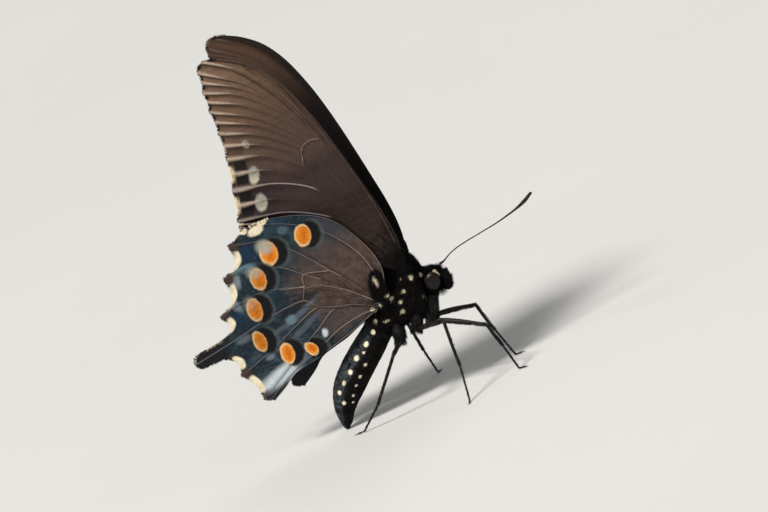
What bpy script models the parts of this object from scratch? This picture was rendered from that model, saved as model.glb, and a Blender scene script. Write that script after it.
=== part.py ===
"""A pipevine swallowtail, life size, standing with its wings closed over its back.

The butterfly faces +X, its left side is +Y and it stands on the plane z = 0. The abdomen curves
down and touches that plane with its tip, as it does when the female lays an egg. Sizes are in
millimetres and become metres when a mesh is made. Once everything stands in its place, the whole
butterfly is moved so that the origin is under the middle of its box.
"""

import math

import bmesh
import bpy
import numpy as np
from mathutils import Vector

MM = 0.001
GAP = 0.3  # clear space left between neighbouring solids

# ---- driving sizes, in millimetres --------------------------------------------------------------

WING_THICKNESS = 0.5
WING_OPENING = math.radians(6.8)  # each wing leans out from upright by this much
WING_BOW = 0.3  # how far the wings bulge outwards at half their height
WING_TOP, WING_FOOT = 69.0, 19.0  # the heights where that bulge ends
WING_STANCE = {  # each wing's root, Y being its distance out from the middle, and its turn forwards
    "forewing_right": (Vector((2.75, 2.6, 22.9)), 0.0),
    "forewing_left": (Vector((2.75, 2.6, 22.9)), 0.0),
    "hindwing_right": (Vector((-2.3, 3.4, 18.9)), 0.0),
    "hindwing_left": (Vector((1.7, 4.0, 19.6)), math.radians(-3.5)),
}

# The forewing's outline, from its root: X is forwards and the second number runs up the wing.
FOREWING_COSTA = (
    (0.2, -0.6),
    (1.7, 2.2),
    (2.05, 5.8),
    (1.75, 10.0),
    (1.05, 14.5),
    (0.3, 19.0),
    (-0.5, 23.5),
    (-1.5, 28.3),
    (-2.75, 33.0),
    (-4.7, 38.2),
    (-7.1, 42.0),
    (-10.0, 44.5),
    (-12.6, 45.9),
    (-14.6, 46.3),
    (-15.8, 45.9),
)
FOREWING_MARGIN = (  # where the veins end on the outer margin, from the tip to the rear corner
    (-16.4, 44.9),
    (-17.05, 41.3),
    (-17.4, 37.8),
    (-17.6, 33.8),
    (-18.2, 29.1),
    (-19.55, 23.6),
    (-21.05, 18.1),
    (-21.4, 16.4),
)
FOREWING_REAR = ((-19.6, 14.6), (-13.5, 10.2), (-7.0, 5.4), (-2.4, 1.4))
FOREWING_SCALLOP = 0.22
FOREWING_MIDDLE = (-7.5, 25.0)  # every part of the outline is in plain sight of this point

# The hindwing's outline, from its own root.
HINDWING_COSTA = (
    (0.5, -0.5),
    (1.9, 2.2),
    (2.8, 5.2),
    (2.6, 8.3),
    (1.3, 12.0),
    (-0.9, 16.0),
    (-3.6, 18.4),
    (-7.2, 20.0),
    (-11.0, 21.0),
    (-14.0, 21.0),
    (-16.3, 20.5),
)
HINDWING_TEETH = (  # a vein ends in each tooth: its place, and how deep the notch above it is
    ((-19.1, 19.2), 0.35),
    ((-22.2, 14.1), 1.7),
    ((-25.5, 7.9), 1.85),
)
TAIL_ROOT_TOP, TAIL_ROOT_BELOW = (-26.3, 4.0), (-28.0, 0.95)
TAIL_NOTCH_TOP, TAIL_NOTCH_BELOW = 1.5, 1.3
TAIL_END = (-31.6, 2.0)  # the middle of the tail's round end
TAIL_HALF_WIDTH = 1.2
HINDWING_TEETH_BELOW = (((-26.5, -3.0), 0.0), ((-24.7, -8.4), 0.8))
HINDWING_REAR = (
    (-22.9, -9.1),
    (-20.4, -7.7),
    (-18.1, -6.1),
    (-15.6, -5.5),
    (-12.9, -5.0),
    (-10.4, -4.2),
    (-6.6, -3.1),
    (-2.8, -1.7),
)
HINDWING_MIDDLE = (-8.5, 5.5)
CURVE_STEPS = 2  # points added between two named points of a smooth edge
SCALLOP_STEPS = 5
WING_RINGS = (0.4, 0.75, 1.0)  # shares of the way from the middle out to the edge

# The trunk, from the tip of the abdomen to the face: the place of its axis (X, Z), its height
# above the axis and its depth below it, both square to the axis, and half its width.
TRUNK = {
    "tip": (-16.6, 0.1, 0.45, 0.45, 0.4),
    "end segment": (-16.25, 1.4, 1.2, 1.15, 1.1),
    "segment 7": (-15.35, 3.9, 2.1, 1.95, 1.95),
    "segment 6": (-13.6, 6.5, 2.75, 2.65, 2.6),
    "segment 4": (-10.8, 9.2, 2.9, 2.85, 2.8),
    "segment 2": (-7.6, 11.8, 2.8, 2.8, 2.75),
    "waist": (-4.9, 14.2, 2.5, 2.9, 2.5),
    "rear of thorax": (-2.7, 16.3, 3.2, 4.6, 3.0),
    "hind hips": (-0.4, 17.8, 4.5, 5.8, 3.4),
    "wing bases": (1.9, 18.6, 5.8, 6.0, 3.5),
    "shoulders": (3.7, 19.0, 6.5, 5.1, 3.2),
    "collar": (4.8, 19.1, 5.6, 3.7, 2.6),
    "neck": (5.55, 19.05, 2.6, 2.3, 1.6),
    "back of head": (6.15, 18.95, 2.15, 2.35, 1.55),
    "middle of head": (7.2, 18.7, 2.2, 2.5, 1.75),
    "brow": (8.2, 18.45, 1.9, 2.1, 1.45),
    "face": (8.8, 18.3, 1.1, 1.3, 0.9),
}
TRUNK_SIDES = 24
TRUNK_STEPS = 4  # rings from one of these places to the next
DORSAL_POWER = 1.6  # below 2 the back is ridged like a roof, which gives the wing bases room
# Where the trunk is parted, counted in places along TRUNK.
ABDOMEN_CUTS = (2.5, 4.0)
WAIST_CUT = 6.4
NECK_CUT = 12.0

EYE_PLACE = Vector((6.95, 1.45, 18.4))
EYE_RADII = Vector((1.4, 0.85, 1.6))
EYE_LEAN = math.radians(20.0)  # its top leans forwards
PALP = ((8.55, 0.75, 16.1), (9.0, 0.8, 16.5), (9.3, 0.8, 17.65), (9.2, 0.8, 18.85))
PALP_RADII = (0.27, 0.36, 0.38, 0.26)
COIL_PLACE, COIL_RADIUS, TONGUE_RADIUS = Vector((6.3, 0.0, 15.75)), 0.45, 0.22
ANTENNA_RIGHT = (
    (8.95, -0.75, 20.35),
    (9.9, -0.85, 20.65),
    (11.55, -1.15, 21.6),
    (13.9, -1.7, 22.4),
    (17.9, -2.9, 23.3),
    (21.55, -4.2, 24.15),
    (25.15, -5.5, 25.25),
    (27.45, -6.3, 26.2),
    (29.2, -7.0, 27.3),
)
ANTENNA_LEFT = (
    (8.95, 0.75, 20.3),
    (9.75, 1.1, 20.4),
    (11.1, 1.7, 21.0),
    (13.1, 3.0, 21.4),
    (16.5, 5.2, 21.55),
    (19.5, 7.4, 21.65),
    (22.5, 9.4, 22.05),
    (24.45, 10.6, 22.6),
    (25.95, 11.6, 23.3),
)
ANTENNA_RADII = (0.27, 0.25, 0.25, 0.25, 0.25, 0.25, 0.3, 0.38, 0.3)

# Each leg: hip, end of the coxa, knee, ankle, and where the foot is flat on the ground.
LEGS = {
    "front_right": (
        (5.5, -1.3, 15.4),
        (4.2, -1.5, 12.3),
        (12.9, -4.5, 8.7),
        (14.1, -5.5, 4.6),
        (15.2, -6.4, 0.24),
        (16.3, -6.9, 0.2),
    ),
    "front_left": (
        (5.5, 1.3, 15.4),
        (4.2, 1.5, 12.3),
        (11.0, 4.5, 10.6),
        (12.3, 4.3, 5.4),
        (13.8, 4.1, 0.24),
        (14.9, 4.3, 0.2),
    ),
    "middle_right": (
        (2.4, -1.3, 14.6),
        (1.3, -2.3, 11.9),
        (7.1, -8.2, 12.9),
        (7.1, -11.4, 5.4),
        (6.9, -15.3, 0.24),
        (6.9, -16.6, 0.2),
    ),
    "middle_left": (
        (2.4, 1.3, 14.6),
        (1.0, 2.3, 11.9),
        (-1.8, 9.0, 12.0),
        (-1.5, 11.6, 5.2),
        (-1.1, 13.6, 0.24),
        (-0.8, 14.8, 0.2),
    ),
    "hind_right": (
        (-1.6, -1.3, 13.9),
        (-2.1, -2.2, 11.0),
        (-2.8, -8.5, 10.9),
        (-8.9, -7.8, 3.7),
        (-12.9, -7.1, 0.24),
        (-14.1, -7.0, 0.2),
    ),
    "hind_left": (
        (-1.6, 1.3, 13.9),
        (-2.4, 2.2, 11.0),
        (-5.3, 7.6, 11.8),
        (-12.4, 7.4, 4.3),
        (-16.6, 6.9, 0.24),
        (-17.8, 6.8, 0.2),
    ),
}
COXA_RADII, FEMUR_RADII = (1.05, 1.0, 0.6), (0.42, 0.5, 0.38)
TIBIA_RADII, TARSUS_RADII = (0.36, 0.31), (0.29, 0.28, 0.27)


# ---- materials and collections ------------------------------------------------------------------


def material(name, colour, roughness, metallic=0.0):
    """Makes one Principled material."""
    made = bpy.data.materials.new(name)
    made.use_nodes = True
    shader = made.node_tree.nodes["Principled BSDF"]
    shader.inputs["Base Color"].default_value = (*colour, 1.0)
    shader.inputs["Roughness"].default_value = roughness
    shader.inputs["Metallic"].default_value = metallic
    return made


def collection(name):
    """Makes a collection in the scene."""
    made = bpy.data.collections.new(name)
    bpy.context.scene.collection.children.link(made)
    return made


for leftover in list(bpy.data.objects):
    bpy.data.objects.remove(leftover)

BODY_BLACK = material("body_black", (0.012, 0.011, 0.012), 0.7)
EYE_BLACK = material("eye_black", (0.01, 0.008, 0.008), 0.15)
HORN_BLACK = material("horn_black", (0.015, 0.012, 0.01), 0.4)
FOREWING_BROWN = material("forewing_brown", (0.035, 0.022, 0.017), 0.65)
HINDWING_BLUE = material("hindwing_blue", (0.02, 0.05, 0.07), 0.5, 0.2)
BUTTERFLY = collection("pipevine_swallowtail")
CUTTERS = collection("cutters")


# ---- tools --------------------------------------------------------------------------------------


def place(name, mesh, finish, group=BUTTERFLY):
    """Puts a mesh in the scene as a named object of one material, shaded smooth."""
    made = bpy.data.objects.new(name, mesh)
    mesh.materials.append(finish)
    mesh.shade_smooth()
    mesh.set_sharp_from_angle(angle=math.radians(50.0))
    group.objects.link(made)
    return made


def mesh_from(name, points, faces):
    """Makes a mesh from points in millimetres, with its faces pointing out."""
    mesh = bpy.data.meshes.new(name)
    mesh.from_pydata([tuple(p) for p in np.asarray(points) * MM], [], faces)
    shape = bmesh.new()
    shape.from_mesh(mesh)
    bmesh.ops.recalc_face_normals(shape, faces=shape.faces)
    shape.to_mesh(mesh)
    shape.free()
    return mesh


def smooth_curve(points, steps):
    """Runs a Catmull-Rom curve through the points, with steps pieces from each to the next."""
    points = np.asarray(points, float)
    ends = np.vstack((2 * points[0] - points[1], points, 2 * points[-1] - points[-2]))
    share = np.arange(steps)[:, None] / steps
    runs = []
    for before, start, end, after in zip(ends, ends[1:], ends[2:], ends[3:]):
        runs.append(
            start
            + 0.5 * share * (end - before)
            + share**2 * (before - 2.5 * start + 2 * end - 0.5 * after)
            + 0.5 * share**3 * (3 * (start - end) + after - before)
        )
    return np.vstack((*runs, points[-1]))


def tube(name, path, radii, finish):
    """Bends a round tube along a path, its radius changing from point to point."""
    curve = bpy.data.curves.new(name, "CURVE")
    curve.dimensions = "3D"
    curve.bevel_depth = MM
    curve.bevel_resolution = 2
    curve.use_fill_caps = True
    spline = curve.splines.new("POLY")
    spline.points.add(len(path) - 1)
    for point, spot, radius in zip(spline.points, path, radii):
        point.co = (*(Vector(spot) * MM), 1.0)
        point.radius = radius
    guide = bpy.data.objects.new(name + "_guide", curve)
    CUTTERS.objects.link(guide)
    bpy.context.view_layer.update()
    mesh = bpy.data.meshes.new_from_object(guide.evaluated_get(bpy.context.evaluated_depsgraph_get()))
    bpy.data.objects.remove(guide)
    shape = bmesh.new()
    shape.from_mesh(mesh)
    bmesh.ops.remove_doubles(shape, verts=shape.verts, dist=1e-6)
    bmesh.ops.recalc_face_normals(shape, faces=shape.faces)
    shape.to_mesh(mesh)
    shape.free()
    mesh.name = name
    mesh.materials.clear()
    return place(name, mesh, finish)


def flatten_sole(foot):
    """Presses what would go below the ground flat against it."""
    for vertex in foot.data.vertices:
        vertex.co.z = max(vertex.co.z, 0.0)


def shortened(start, end, at_start, at_end):
    """Gives the two ends of a straight run after some of its length is taken off each."""
    start, end = Vector(start), Vector(end)
    along = (end - start).normalized()
    return start + along * at_start, end - along * at_end


def cut(target, cutter):
    """Takes the cutter's shape out of the target."""
    cutter.hide_render = True
    cutter.display_type = "WIRE"
    modifier = target.modifiers.new("cut_" + cutter.name, "BOOLEAN")
    modifier.operation = "DIFFERENCE"
    modifier.object = cutter


def ellipsoid(name, centre, radii, lean, finish, group=BUTTERFLY):
    """Makes a round ball, stretches it along its own axes and leans it about the Y axis."""
    mesh = bpy.data.meshes.new(name)
    shape = bmesh.new()
    bmesh.ops.create_uvsphere(shape, u_segments=16, v_segments=10, radius=1.0)
    for vertex in shape.verts:
        x, y, z = (a * r for a, r in zip(vertex.co, radii))
        vertex.co = (
            centre.x + x * math.cos(lean) + z * math.sin(lean),
            centre.y + y,
            centre.z - x * math.sin(lean) + z * math.cos(lean),
        )
        vertex.co *= MM
    shape.to_mesh(mesh)
    shape.free()
    return place(name, mesh, finish, group)


# ---- trunk --------------------------------------------------------------------------------------


def trunk_rings(start, end, grow=0.0):
    """Draws the trunk's cross-sections between two places along it.

    A section stands square to the axis. Its lower half is an ellipse, and its upper half is
    |width|^p + |height|^p = 1 with p = DORSAL_POWER.
    """
    places = np.array(list(TRUNK.values()))
    fine = smooth_curve(places, TRUNK_STEPS)
    along = np.arange(len(fine)) / TRUNK_STEPS
    inside = along[(along > start + 0.1) & (along < end - 0.1)]
    wanted = np.concatenate(([start], inside, [end]))
    x, z, up, down, half = (np.interp(wanted, along, column) for column in fine.T)
    slope = [np.interp(wanted, along, np.gradient(column, along)) for column in fine.T[:2]]
    length = np.hypot(*slope)
    forward_x, forward_z = slope[0] / length, slope[1] / length
    turn = np.arange(TRUNK_SIDES) * (math.tau / TRUNK_SIDES)
    side, rise = np.cos(turn), np.sin(turn)
    power = np.where(rise > 0, DORSAL_POWER, 2.0)
    reach = (np.abs(side) ** power + np.abs(rise) ** power) ** (-1 / power)
    side, rise = side * reach, rise * reach
    height = np.where(rise > 0, np.outer(up + grow, rise), np.outer(down + grow, rise))
    width = np.outer(half + grow, side)
    points = np.stack(
        (x[:, None] - forward_z[:, None] * height, width, z[:, None] + forward_x[:, None] * height),
        axis=-1,
    )
    points[..., 2] = np.maximum(points[..., 2], 0.0)
    return points


def loft(name, rings, finish, group=BUTTERFLY):
    """Joins the rings into one closed body with flat ends."""
    count, sides = rings.shape[:2]
    faces = [
        (row * sides + i, row * sides + (i + 1) % sides, (row + 1) * sides + (i + 1) % sides, (row + 1) * sides + i)
        for row in range(count - 1)
        for i in range(sides)
    ]
    faces.append(tuple(range(sides))[::-1])
    faces.append(tuple(range((count - 1) * sides, count * sides)))
    return place(name, mesh_from(name, rings.reshape(-1, 3), faces), finish, group)


def half_gap_at(cut_place):
    """Turns half the gap into a step along TRUNK at one of its cuts."""
    places = np.array(list(TRUNK.values()))[:, :2]
    here = int(cut_place)
    return 0.5 * GAP / float(np.hypot(*(places[here + 1] - places[here])))


def build_trunk():
    """Makes the abdomen in three lengths, the thorax and the head, parted by thin cuts."""
    last = len(TRUNK) - 1
    bounds = [0.0, *ABDOMEN_CUTS, WAIST_CUT, NECK_CUT, float(last)]
    names = ("abdomen_tip", "abdomen_middle", "abdomen_base", "thorax", "head")
    solids = {}
    for name, start, end in zip(names, bounds, bounds[1:]):
        if start > 0:
            start += half_gap_at(start)
        if end < last:
            end -= half_gap_at(end)
        solids[name] = loft(name, trunk_rings(start, end), BODY_BLACK)
    return solids


def build_head_parts(head):
    """Makes the eyes in their sockets, the palps, the coiled tongue and the antennae."""
    for side, sign in (("right", -1), ("left", 1)):
        centre = Vector((EYE_PLACE.x, sign * EYE_PLACE.y, EYE_PLACE.z))
        ellipsoid("eye_" + side, centre, EYE_RADII, EYE_LEAN, EYE_BLACK)
        room = EYE_RADII + Vector((GAP, GAP, GAP))
        cut(head, ellipsoid("socket_" + side, centre, room, EYE_LEAN, EYE_BLACK, CUTTERS))
        path = [(x, sign * y, z) for x, y, z in PALP]
        tube("palp_" + side, path, PALP_RADII, BODY_BLACK)
    tube("antenna_right", ANTENNA_RIGHT, ANTENNA_RADII, HORN_BLACK)
    tube("antenna_left", ANTENNA_LEFT, ANTENNA_RADII, HORN_BLACK)
    build_tongue()


def build_tongue():
    """Makes the coiled tongue as one ring under the head."""
    bpy.ops.mesh.primitive_torus_add(
        location=COIL_PLACE * MM,
        rotation=(math.pi / 2, 0.0, 0.0),
        major_radius=COIL_RADIUS * MM,
        minor_radius=TONGUE_RADIUS * MM,
        major_segments=14,
        minor_segments=8,
    )
    coil = bpy.context.object
    coil.name = coil.data.name = "tongue"
    coil.data.materials.append(HORN_BLACK)
    coil.data.shade_smooth()
    for group in list(coil.users_collection):
        group.objects.unlink(coil)
    BUTTERFLY.objects.link(coil)


# ---- legs ---------------------------------------------------------------------------------------


def build_legs():
    """Makes each leg's coxa, femur, tibia and tarsus, with a thin gap at every joint."""
    room = loft("thorax_room", trunk_rings(5.0, NECK_CUT + 0.3, GAP), BODY_BLACK, CUTTERS)
    for leg, (hip, coxa_end, knee, ankle, heel, toe) in LEGS.items():
        middle = (Vector(hip) + Vector(coxa_end)) / 2
        coxa = tube("coxa_" + leg, (hip, middle, coxa_end), COXA_RADII, BODY_BLACK)
        cut(coxa, room)
        start, end = shortened(coxa_end, knee, 0.75, GAP / 2)
        swell = start.lerp(end, 0.35)
        tube("femur_" + leg, (start, swell, end), FEMUR_RADII, HORN_BLACK)
        start, end = shortened(knee, ankle, 0.65, GAP / 2)
        tube("tibia_" + leg, (start, end), TIBIA_RADII, HORN_BLACK)
        start, _ = shortened(ankle, heel, GAP, 0.0)
        flatten_sole(tube("tarsus_" + leg, (start, heel, toe), TARSUS_RADII, HORN_BLACK))


# ---- wings --------------------------------------------------------------------------------------


def scallop(start, end, depth, middle):
    """Draws the edge from one tooth to the next: a half sine wave that dips towards the middle."""
    start, end = np.array(start), np.array(end)
    share = np.arange(1, SCALLOP_STEPS + 1)[:, None] / SCALLOP_STEPS
    across = np.array((end[1] - start[1], start[0] - end[0]))
    across *= np.sign(across @ (np.array(middle) - start)) / np.hypot(*across)
    return start + share * (end - start) + np.sin(math.pi * share) * depth * across


def forewing_outline():
    """Draws the forewing's edge: a smooth front, a faintly waved margin and a smooth rear."""
    edge = [smooth_curve(FOREWING_COSTA, CURVE_STEPS), [FOREWING_MARGIN[0]]]
    for start, end in zip(FOREWING_MARGIN, FOREWING_MARGIN[1:]):
        edge.append(scallop(start, end, FOREWING_SCALLOP, FOREWING_MIDDLE))
    edge.append(smooth_curve(FOREWING_REAR, CURVE_STEPS))
    return np.vstack(edge)


def tail_edge():
    """Draws the tail: two nearly straight sides and a half circle at the end."""
    root = (np.array(TAIL_ROOT_TOP) + np.array(TAIL_ROOT_BELOW)) / 2
    end = np.array(TAIL_END)
    heading = math.atan2(end[1] - root[1], end[0] - root[0])
    turn = heading + np.linspace(-math.pi / 2, math.pi / 2, 7)
    return end + TAIL_HALF_WIDTH * np.stack((np.cos(turn), np.sin(turn)), axis=-1)


def hindwing_outline():
    """Draws the hindwing's edge: its front, toothed margin, tail and the margin by the body."""
    edge = [smooth_curve(HINDWING_COSTA, CURVE_STEPS)]
    tooth = HINDWING_COSTA[-1]
    for end, depth in HINDWING_TEETH:
        edge.append(scallop(tooth, end, depth, HINDWING_MIDDLE))
        tooth = end
    edge.append(scallop(tooth, TAIL_ROOT_TOP, TAIL_NOTCH_TOP, HINDWING_MIDDLE))
    edge.append(tail_edge())
    edge.append([TAIL_ROOT_BELOW])
    tooth = HINDWING_TEETH_BELOW[0][0]
    edge.append(scallop(TAIL_ROOT_BELOW, tooth, TAIL_NOTCH_BELOW, HINDWING_MIDDLE))
    for end, depth in HINDWING_TEETH_BELOW[1:]:
        edge.append(scallop(tooth, end, depth, HINDWING_MIDDLE))
    edge.append(smooth_curve(HINDWING_REAR, CURVE_STEPS))
    return np.vstack(edge)


def stand_up(flat, root, sign, swing):
    """Takes points of the flat wing to their place.

    The wing turns by swing about its root, stands up leaning out by WING_OPENING, and bulges out
    by WING_BOW times a half sine wave of its height.
    """
    x = flat[..., 0] * math.cos(swing) + flat[..., 1] * math.sin(swing)
    up = flat[..., 1] * math.cos(swing) - flat[..., 0] * math.sin(swing)
    z = root.z + up * math.cos(WING_OPENING)
    height = np.clip((z - WING_FOOT) / (WING_TOP - WING_FOOT), 0.0, 1.0)
    out = root.y + up * math.sin(WING_OPENING) + WING_BOW * np.sin(math.pi * height)
    return np.stack((root.x + x, sign * out, z), axis=-1)


def build_wing(name, outline, middle, finish):
    """Makes one wing: rings of points between its middle and its edge, given a thickness."""
    middle = np.array(middle)
    rings = [middle + share * (outline - middle) for share in WING_RINGS]
    flat = np.vstack((middle[None], *rings))
    sign = -1 if name.endswith("right") else 1
    root, swing = WING_STANCE[name]
    points = stand_up(flat, root, sign, swing)
    count = len(outline)
    faces = [(0, 1 + i, 1 + (i + 1) % count) for i in range(count)]
    for ring in range(len(WING_RINGS) - 1):
        inner, outer = 1 + ring * count, 1 + (ring + 1) * count
        for i in range(count):
            following = (i + 1) % count
            faces.append((inner + i, outer + i, outer + following, inner + following))
    wing = place(name, mesh_from(name, points, faces), finish)
    wall = wing.modifiers.new("thickness", "SOLIDIFY")
    wall.thickness = WING_THICKNESS * MM
    wall.offset = 0.0


def build_wings():
    """Makes the four wings, the hindwings outside the forewings."""
    for side in ("right", "left"):
        build_wing("forewing_" + side, forewing_outline(), FOREWING_MIDDLE, FOREWING_BROWN)
        build_wing("hindwing_" + side, hindwing_outline(), HINDWING_MIDDLE, HINDWING_BLUE)


def centre_over_origin():
    """Moves the whole butterfly so that the origin is under the middle of its box."""
    bpy.context.view_layer.update()
    depsgraph = bpy.context.evaluated_depsgraph_get()
    corners = []
    for solid in BUTTERFLY.objects:
        shown = solid.evaluated_get(depsgraph)
        corners += [shown.matrix_world @ Vector(corner) for corner in shown.bound_box]
    low = Vector(min(corner[axis] for corner in corners) for axis in range(3))
    high = Vector(max(corner[axis] for corner in corners) for axis in range(3))
    middle = Vector(((low.x + high.x) / 2, (low.y + high.y) / 2, 0.0))
    for group in (BUTTERFLY, CUTTERS):
        for solid in group.objects:
            solid.location -= middle


trunk = build_trunk()
build_head_parts(trunk["head"])
build_legs()
build_wings()
centre_over_origin()
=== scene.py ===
"""The looks of a life-size pipevine swallowtail, standing with its wings closed over its back.

The file is laid out as an add-on and is run as a script. Every operator builds one piece, or one
group of like pieces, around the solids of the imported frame. Places are in millimetres in the
butterfly's own frame: it faces +X, its left side is +Y and it stands on z = 0. They become metres
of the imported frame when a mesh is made. A point on a wing is (x, h): x is forwards from the wing's
root and h runs up the wing.
"""

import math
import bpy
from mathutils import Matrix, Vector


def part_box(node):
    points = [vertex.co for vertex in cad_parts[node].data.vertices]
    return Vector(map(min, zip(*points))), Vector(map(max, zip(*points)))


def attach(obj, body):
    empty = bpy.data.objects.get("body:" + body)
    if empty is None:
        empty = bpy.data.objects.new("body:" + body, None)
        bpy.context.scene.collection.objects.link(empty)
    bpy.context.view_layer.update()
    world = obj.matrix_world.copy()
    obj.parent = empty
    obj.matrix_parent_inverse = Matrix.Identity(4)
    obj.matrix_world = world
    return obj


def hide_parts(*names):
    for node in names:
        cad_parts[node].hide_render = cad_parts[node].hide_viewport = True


bl_info = {
    "name": "Pipevine swallowtail",
    "version": (1, 0, 0),
    "blender": (4, 5, 0),
    "location": "View3D > Sidebar > Swallowtail",
    "description": "Builds the scales, hair, veins and markings of a life-size standing swallowtail",
    "category": "Object",
}

import bpy
import numpy as np
from mathutils import Matrix, Vector

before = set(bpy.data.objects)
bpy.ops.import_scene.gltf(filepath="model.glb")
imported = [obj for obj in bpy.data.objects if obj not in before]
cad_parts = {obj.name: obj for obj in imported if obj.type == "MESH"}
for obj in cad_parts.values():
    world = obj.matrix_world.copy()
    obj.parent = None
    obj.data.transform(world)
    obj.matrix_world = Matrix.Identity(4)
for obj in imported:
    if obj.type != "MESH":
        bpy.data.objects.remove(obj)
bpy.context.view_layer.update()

MM = 0.001
TAU = math.tau
RIGHT, LEFT = -1, 1
SIDEWAYS = (0.0, 1.0, 0.0)
GROUND_GAP = 0.02  # nothing of the body or its hair comes nearer to the ground
SIDES = (("right", RIGHT), ("left", LEFT))

# ---- where the butterfly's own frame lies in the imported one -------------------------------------

EYE_PLACE = np.array((6.95, 1.45, 18.4))
EYE_RADII = np.array((1.4, 0.85, 1.6))
EYE_LEAN = math.radians(20.0)


def own_frame_shift():
    """Gives the step from the butterfly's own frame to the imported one, read off the right eye."""
    low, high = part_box("eye_right")
    middle = (np.array(low) + np.array(high)) / 2 / MM
    return (middle - EYE_PLACE * (1, RIGHT, 1)) * (1, 1, 0)


SHIFT = own_frame_shift()

# ---- wings --------------------------------------------------------------------------------------

WING_OPENING = math.radians(6.8)  # each wing leans out from upright by this much
WING_BOW = 0.3  # how far the wings bulge outwards at half their height
WING_TOP, WING_FOOT = 69.0, 19.0
WING_STANCE = {  # each wing's root, its second number being the distance out, and its turn forwards
    "forewing_right": ((2.75, 2.6, 22.9), 0.0),
    "forewing_left": ((2.75, 2.6, 22.9), 0.0),
    "hindwing_right": ((-2.3, 3.4, 18.9), 0.0),
    "hindwing_left": ((1.7, 4.0, 19.6), math.radians(-3.5)),
}
PLAN_WIDTH, PLAN_CORNER = 64.0, (40.0, 12.0)  # how (x, h) is laid on the UV map "plan"

# Each wing's veins run from its root to its margin, the front edge first and the rear edge last.
# A vein's number is the share of the way out where it leaves the vein that it grew from, and 1 marks
# a line of the sheet that carries no vein.
FOREWING_VEINS = (
    ("costa", 0.0, ((0.2, -0.6), (1.7, 2.2), (2.05, 5.8), (1.75, 10.0), (1.05, 14.5), (0.3, 19.0),
                    (-0.5, 23.5), (-1.5, 28.3), (-2.75, 33.0), (-4.7, 38.2), (-7.1, 42.0),
                    (-10.0, 44.5), (-12.6, 45.9))),
    ("radius 4", 0.0, ((0.08, -0.5), (0.95, 3.0), (1.1, 6.5), (0.75, 11.0), (0.05, 15.5),
                       (-0.85, 20.5), (-2.0, 25.0), (-3.7, 29.5), (-6.4, 35.0), (-10.2, 40.2),
                       (-16.4, 44.9))),
    ("radius 5", 0.6, ((-0.04, -0.4), (0.82, 3.0), (0.97, 6.5), (0.6, 11.0), (-0.1, 15.5),
                       (-1.0, 20.5), (-2.15, 25.0), (-3.85, 29.4), (-7.5, 34.6), (-12.0, 39.0),
                       (-17.05, 41.3))),
    ("media 1", 0.62, ((-0.16, -0.3), (0.2, 5.0), (-0.5, 12.0), (-2.1, 20.0), (-4.4, 26.4),
                       (-10.4, 33.6), (-17.4, 37.8))),
    ("media 2", 0.66, ((-0.3, -0.2), (-0.2, 5.0), (-1.2, 12.0), (-3.3, 20.0), (-6.0, 25.9),
                       (-11.5, 31.0), (-17.6, 33.8))),
    ("media 3", 0.0, ((-0.42, -0.1), (-1.1, 4.0), (-3.0, 7.6), (-4.9, 11.6), (-6.1, 18.0),
                      (-7.0, 22.9), (-11.9, 27.2), (-18.2, 29.1))),
    ("cubitus 1", 0.5, ((-0.54, 0.0), (-1.22, 3.95), (-3.12, 7.5), (-5.03, 11.5), (-6.3, 17.8),
                        (-12.2, 21.9), (-19.55, 23.6))),
    ("cubitus 2", 0.34, ((-0.66, 0.1), (-1.34, 3.9), (-3.24, 7.4), (-5.4, 11.9), (-12.9, 16.6),
                         (-21.05, 18.1))),
    ("anal vein", 0.0, ((-0.78, 0.2), (-3.4, 3.3), (-8.6, 8.4), (-14.6, 12.9), (-21.22, 17.2))),
    ("rear edge", 0.0, ((-0.9, 0.3), (-2.4, 1.4), (-7.0, 5.4), (-13.5, 10.2), (-19.6, 14.6),
                        (-21.4, 16.4))),
)
# Where veins share a stem, the same rows cross it: after so many points, the share of rows used up.
FOREWING_FORKS = {
    "radius 4": ((7, 0.6),),
    "radius 5": ((7, 0.6),),
    "media 3": ((3, 0.34), (4, 0.5)),
    "cubitus 1": ((3, 0.34), (4, 0.5)),
    "cubitus 2": ((3, 0.34),),
}
FOREWING_TIP = ((-12.6, 45.9), (-14.6, 46.3), (-15.8, 45.9), (-16.4, 44.9))
FOREWING_SCALLOP = 0.3
FOREWING_MIDDLE = (-7.5, 25.0)

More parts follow.
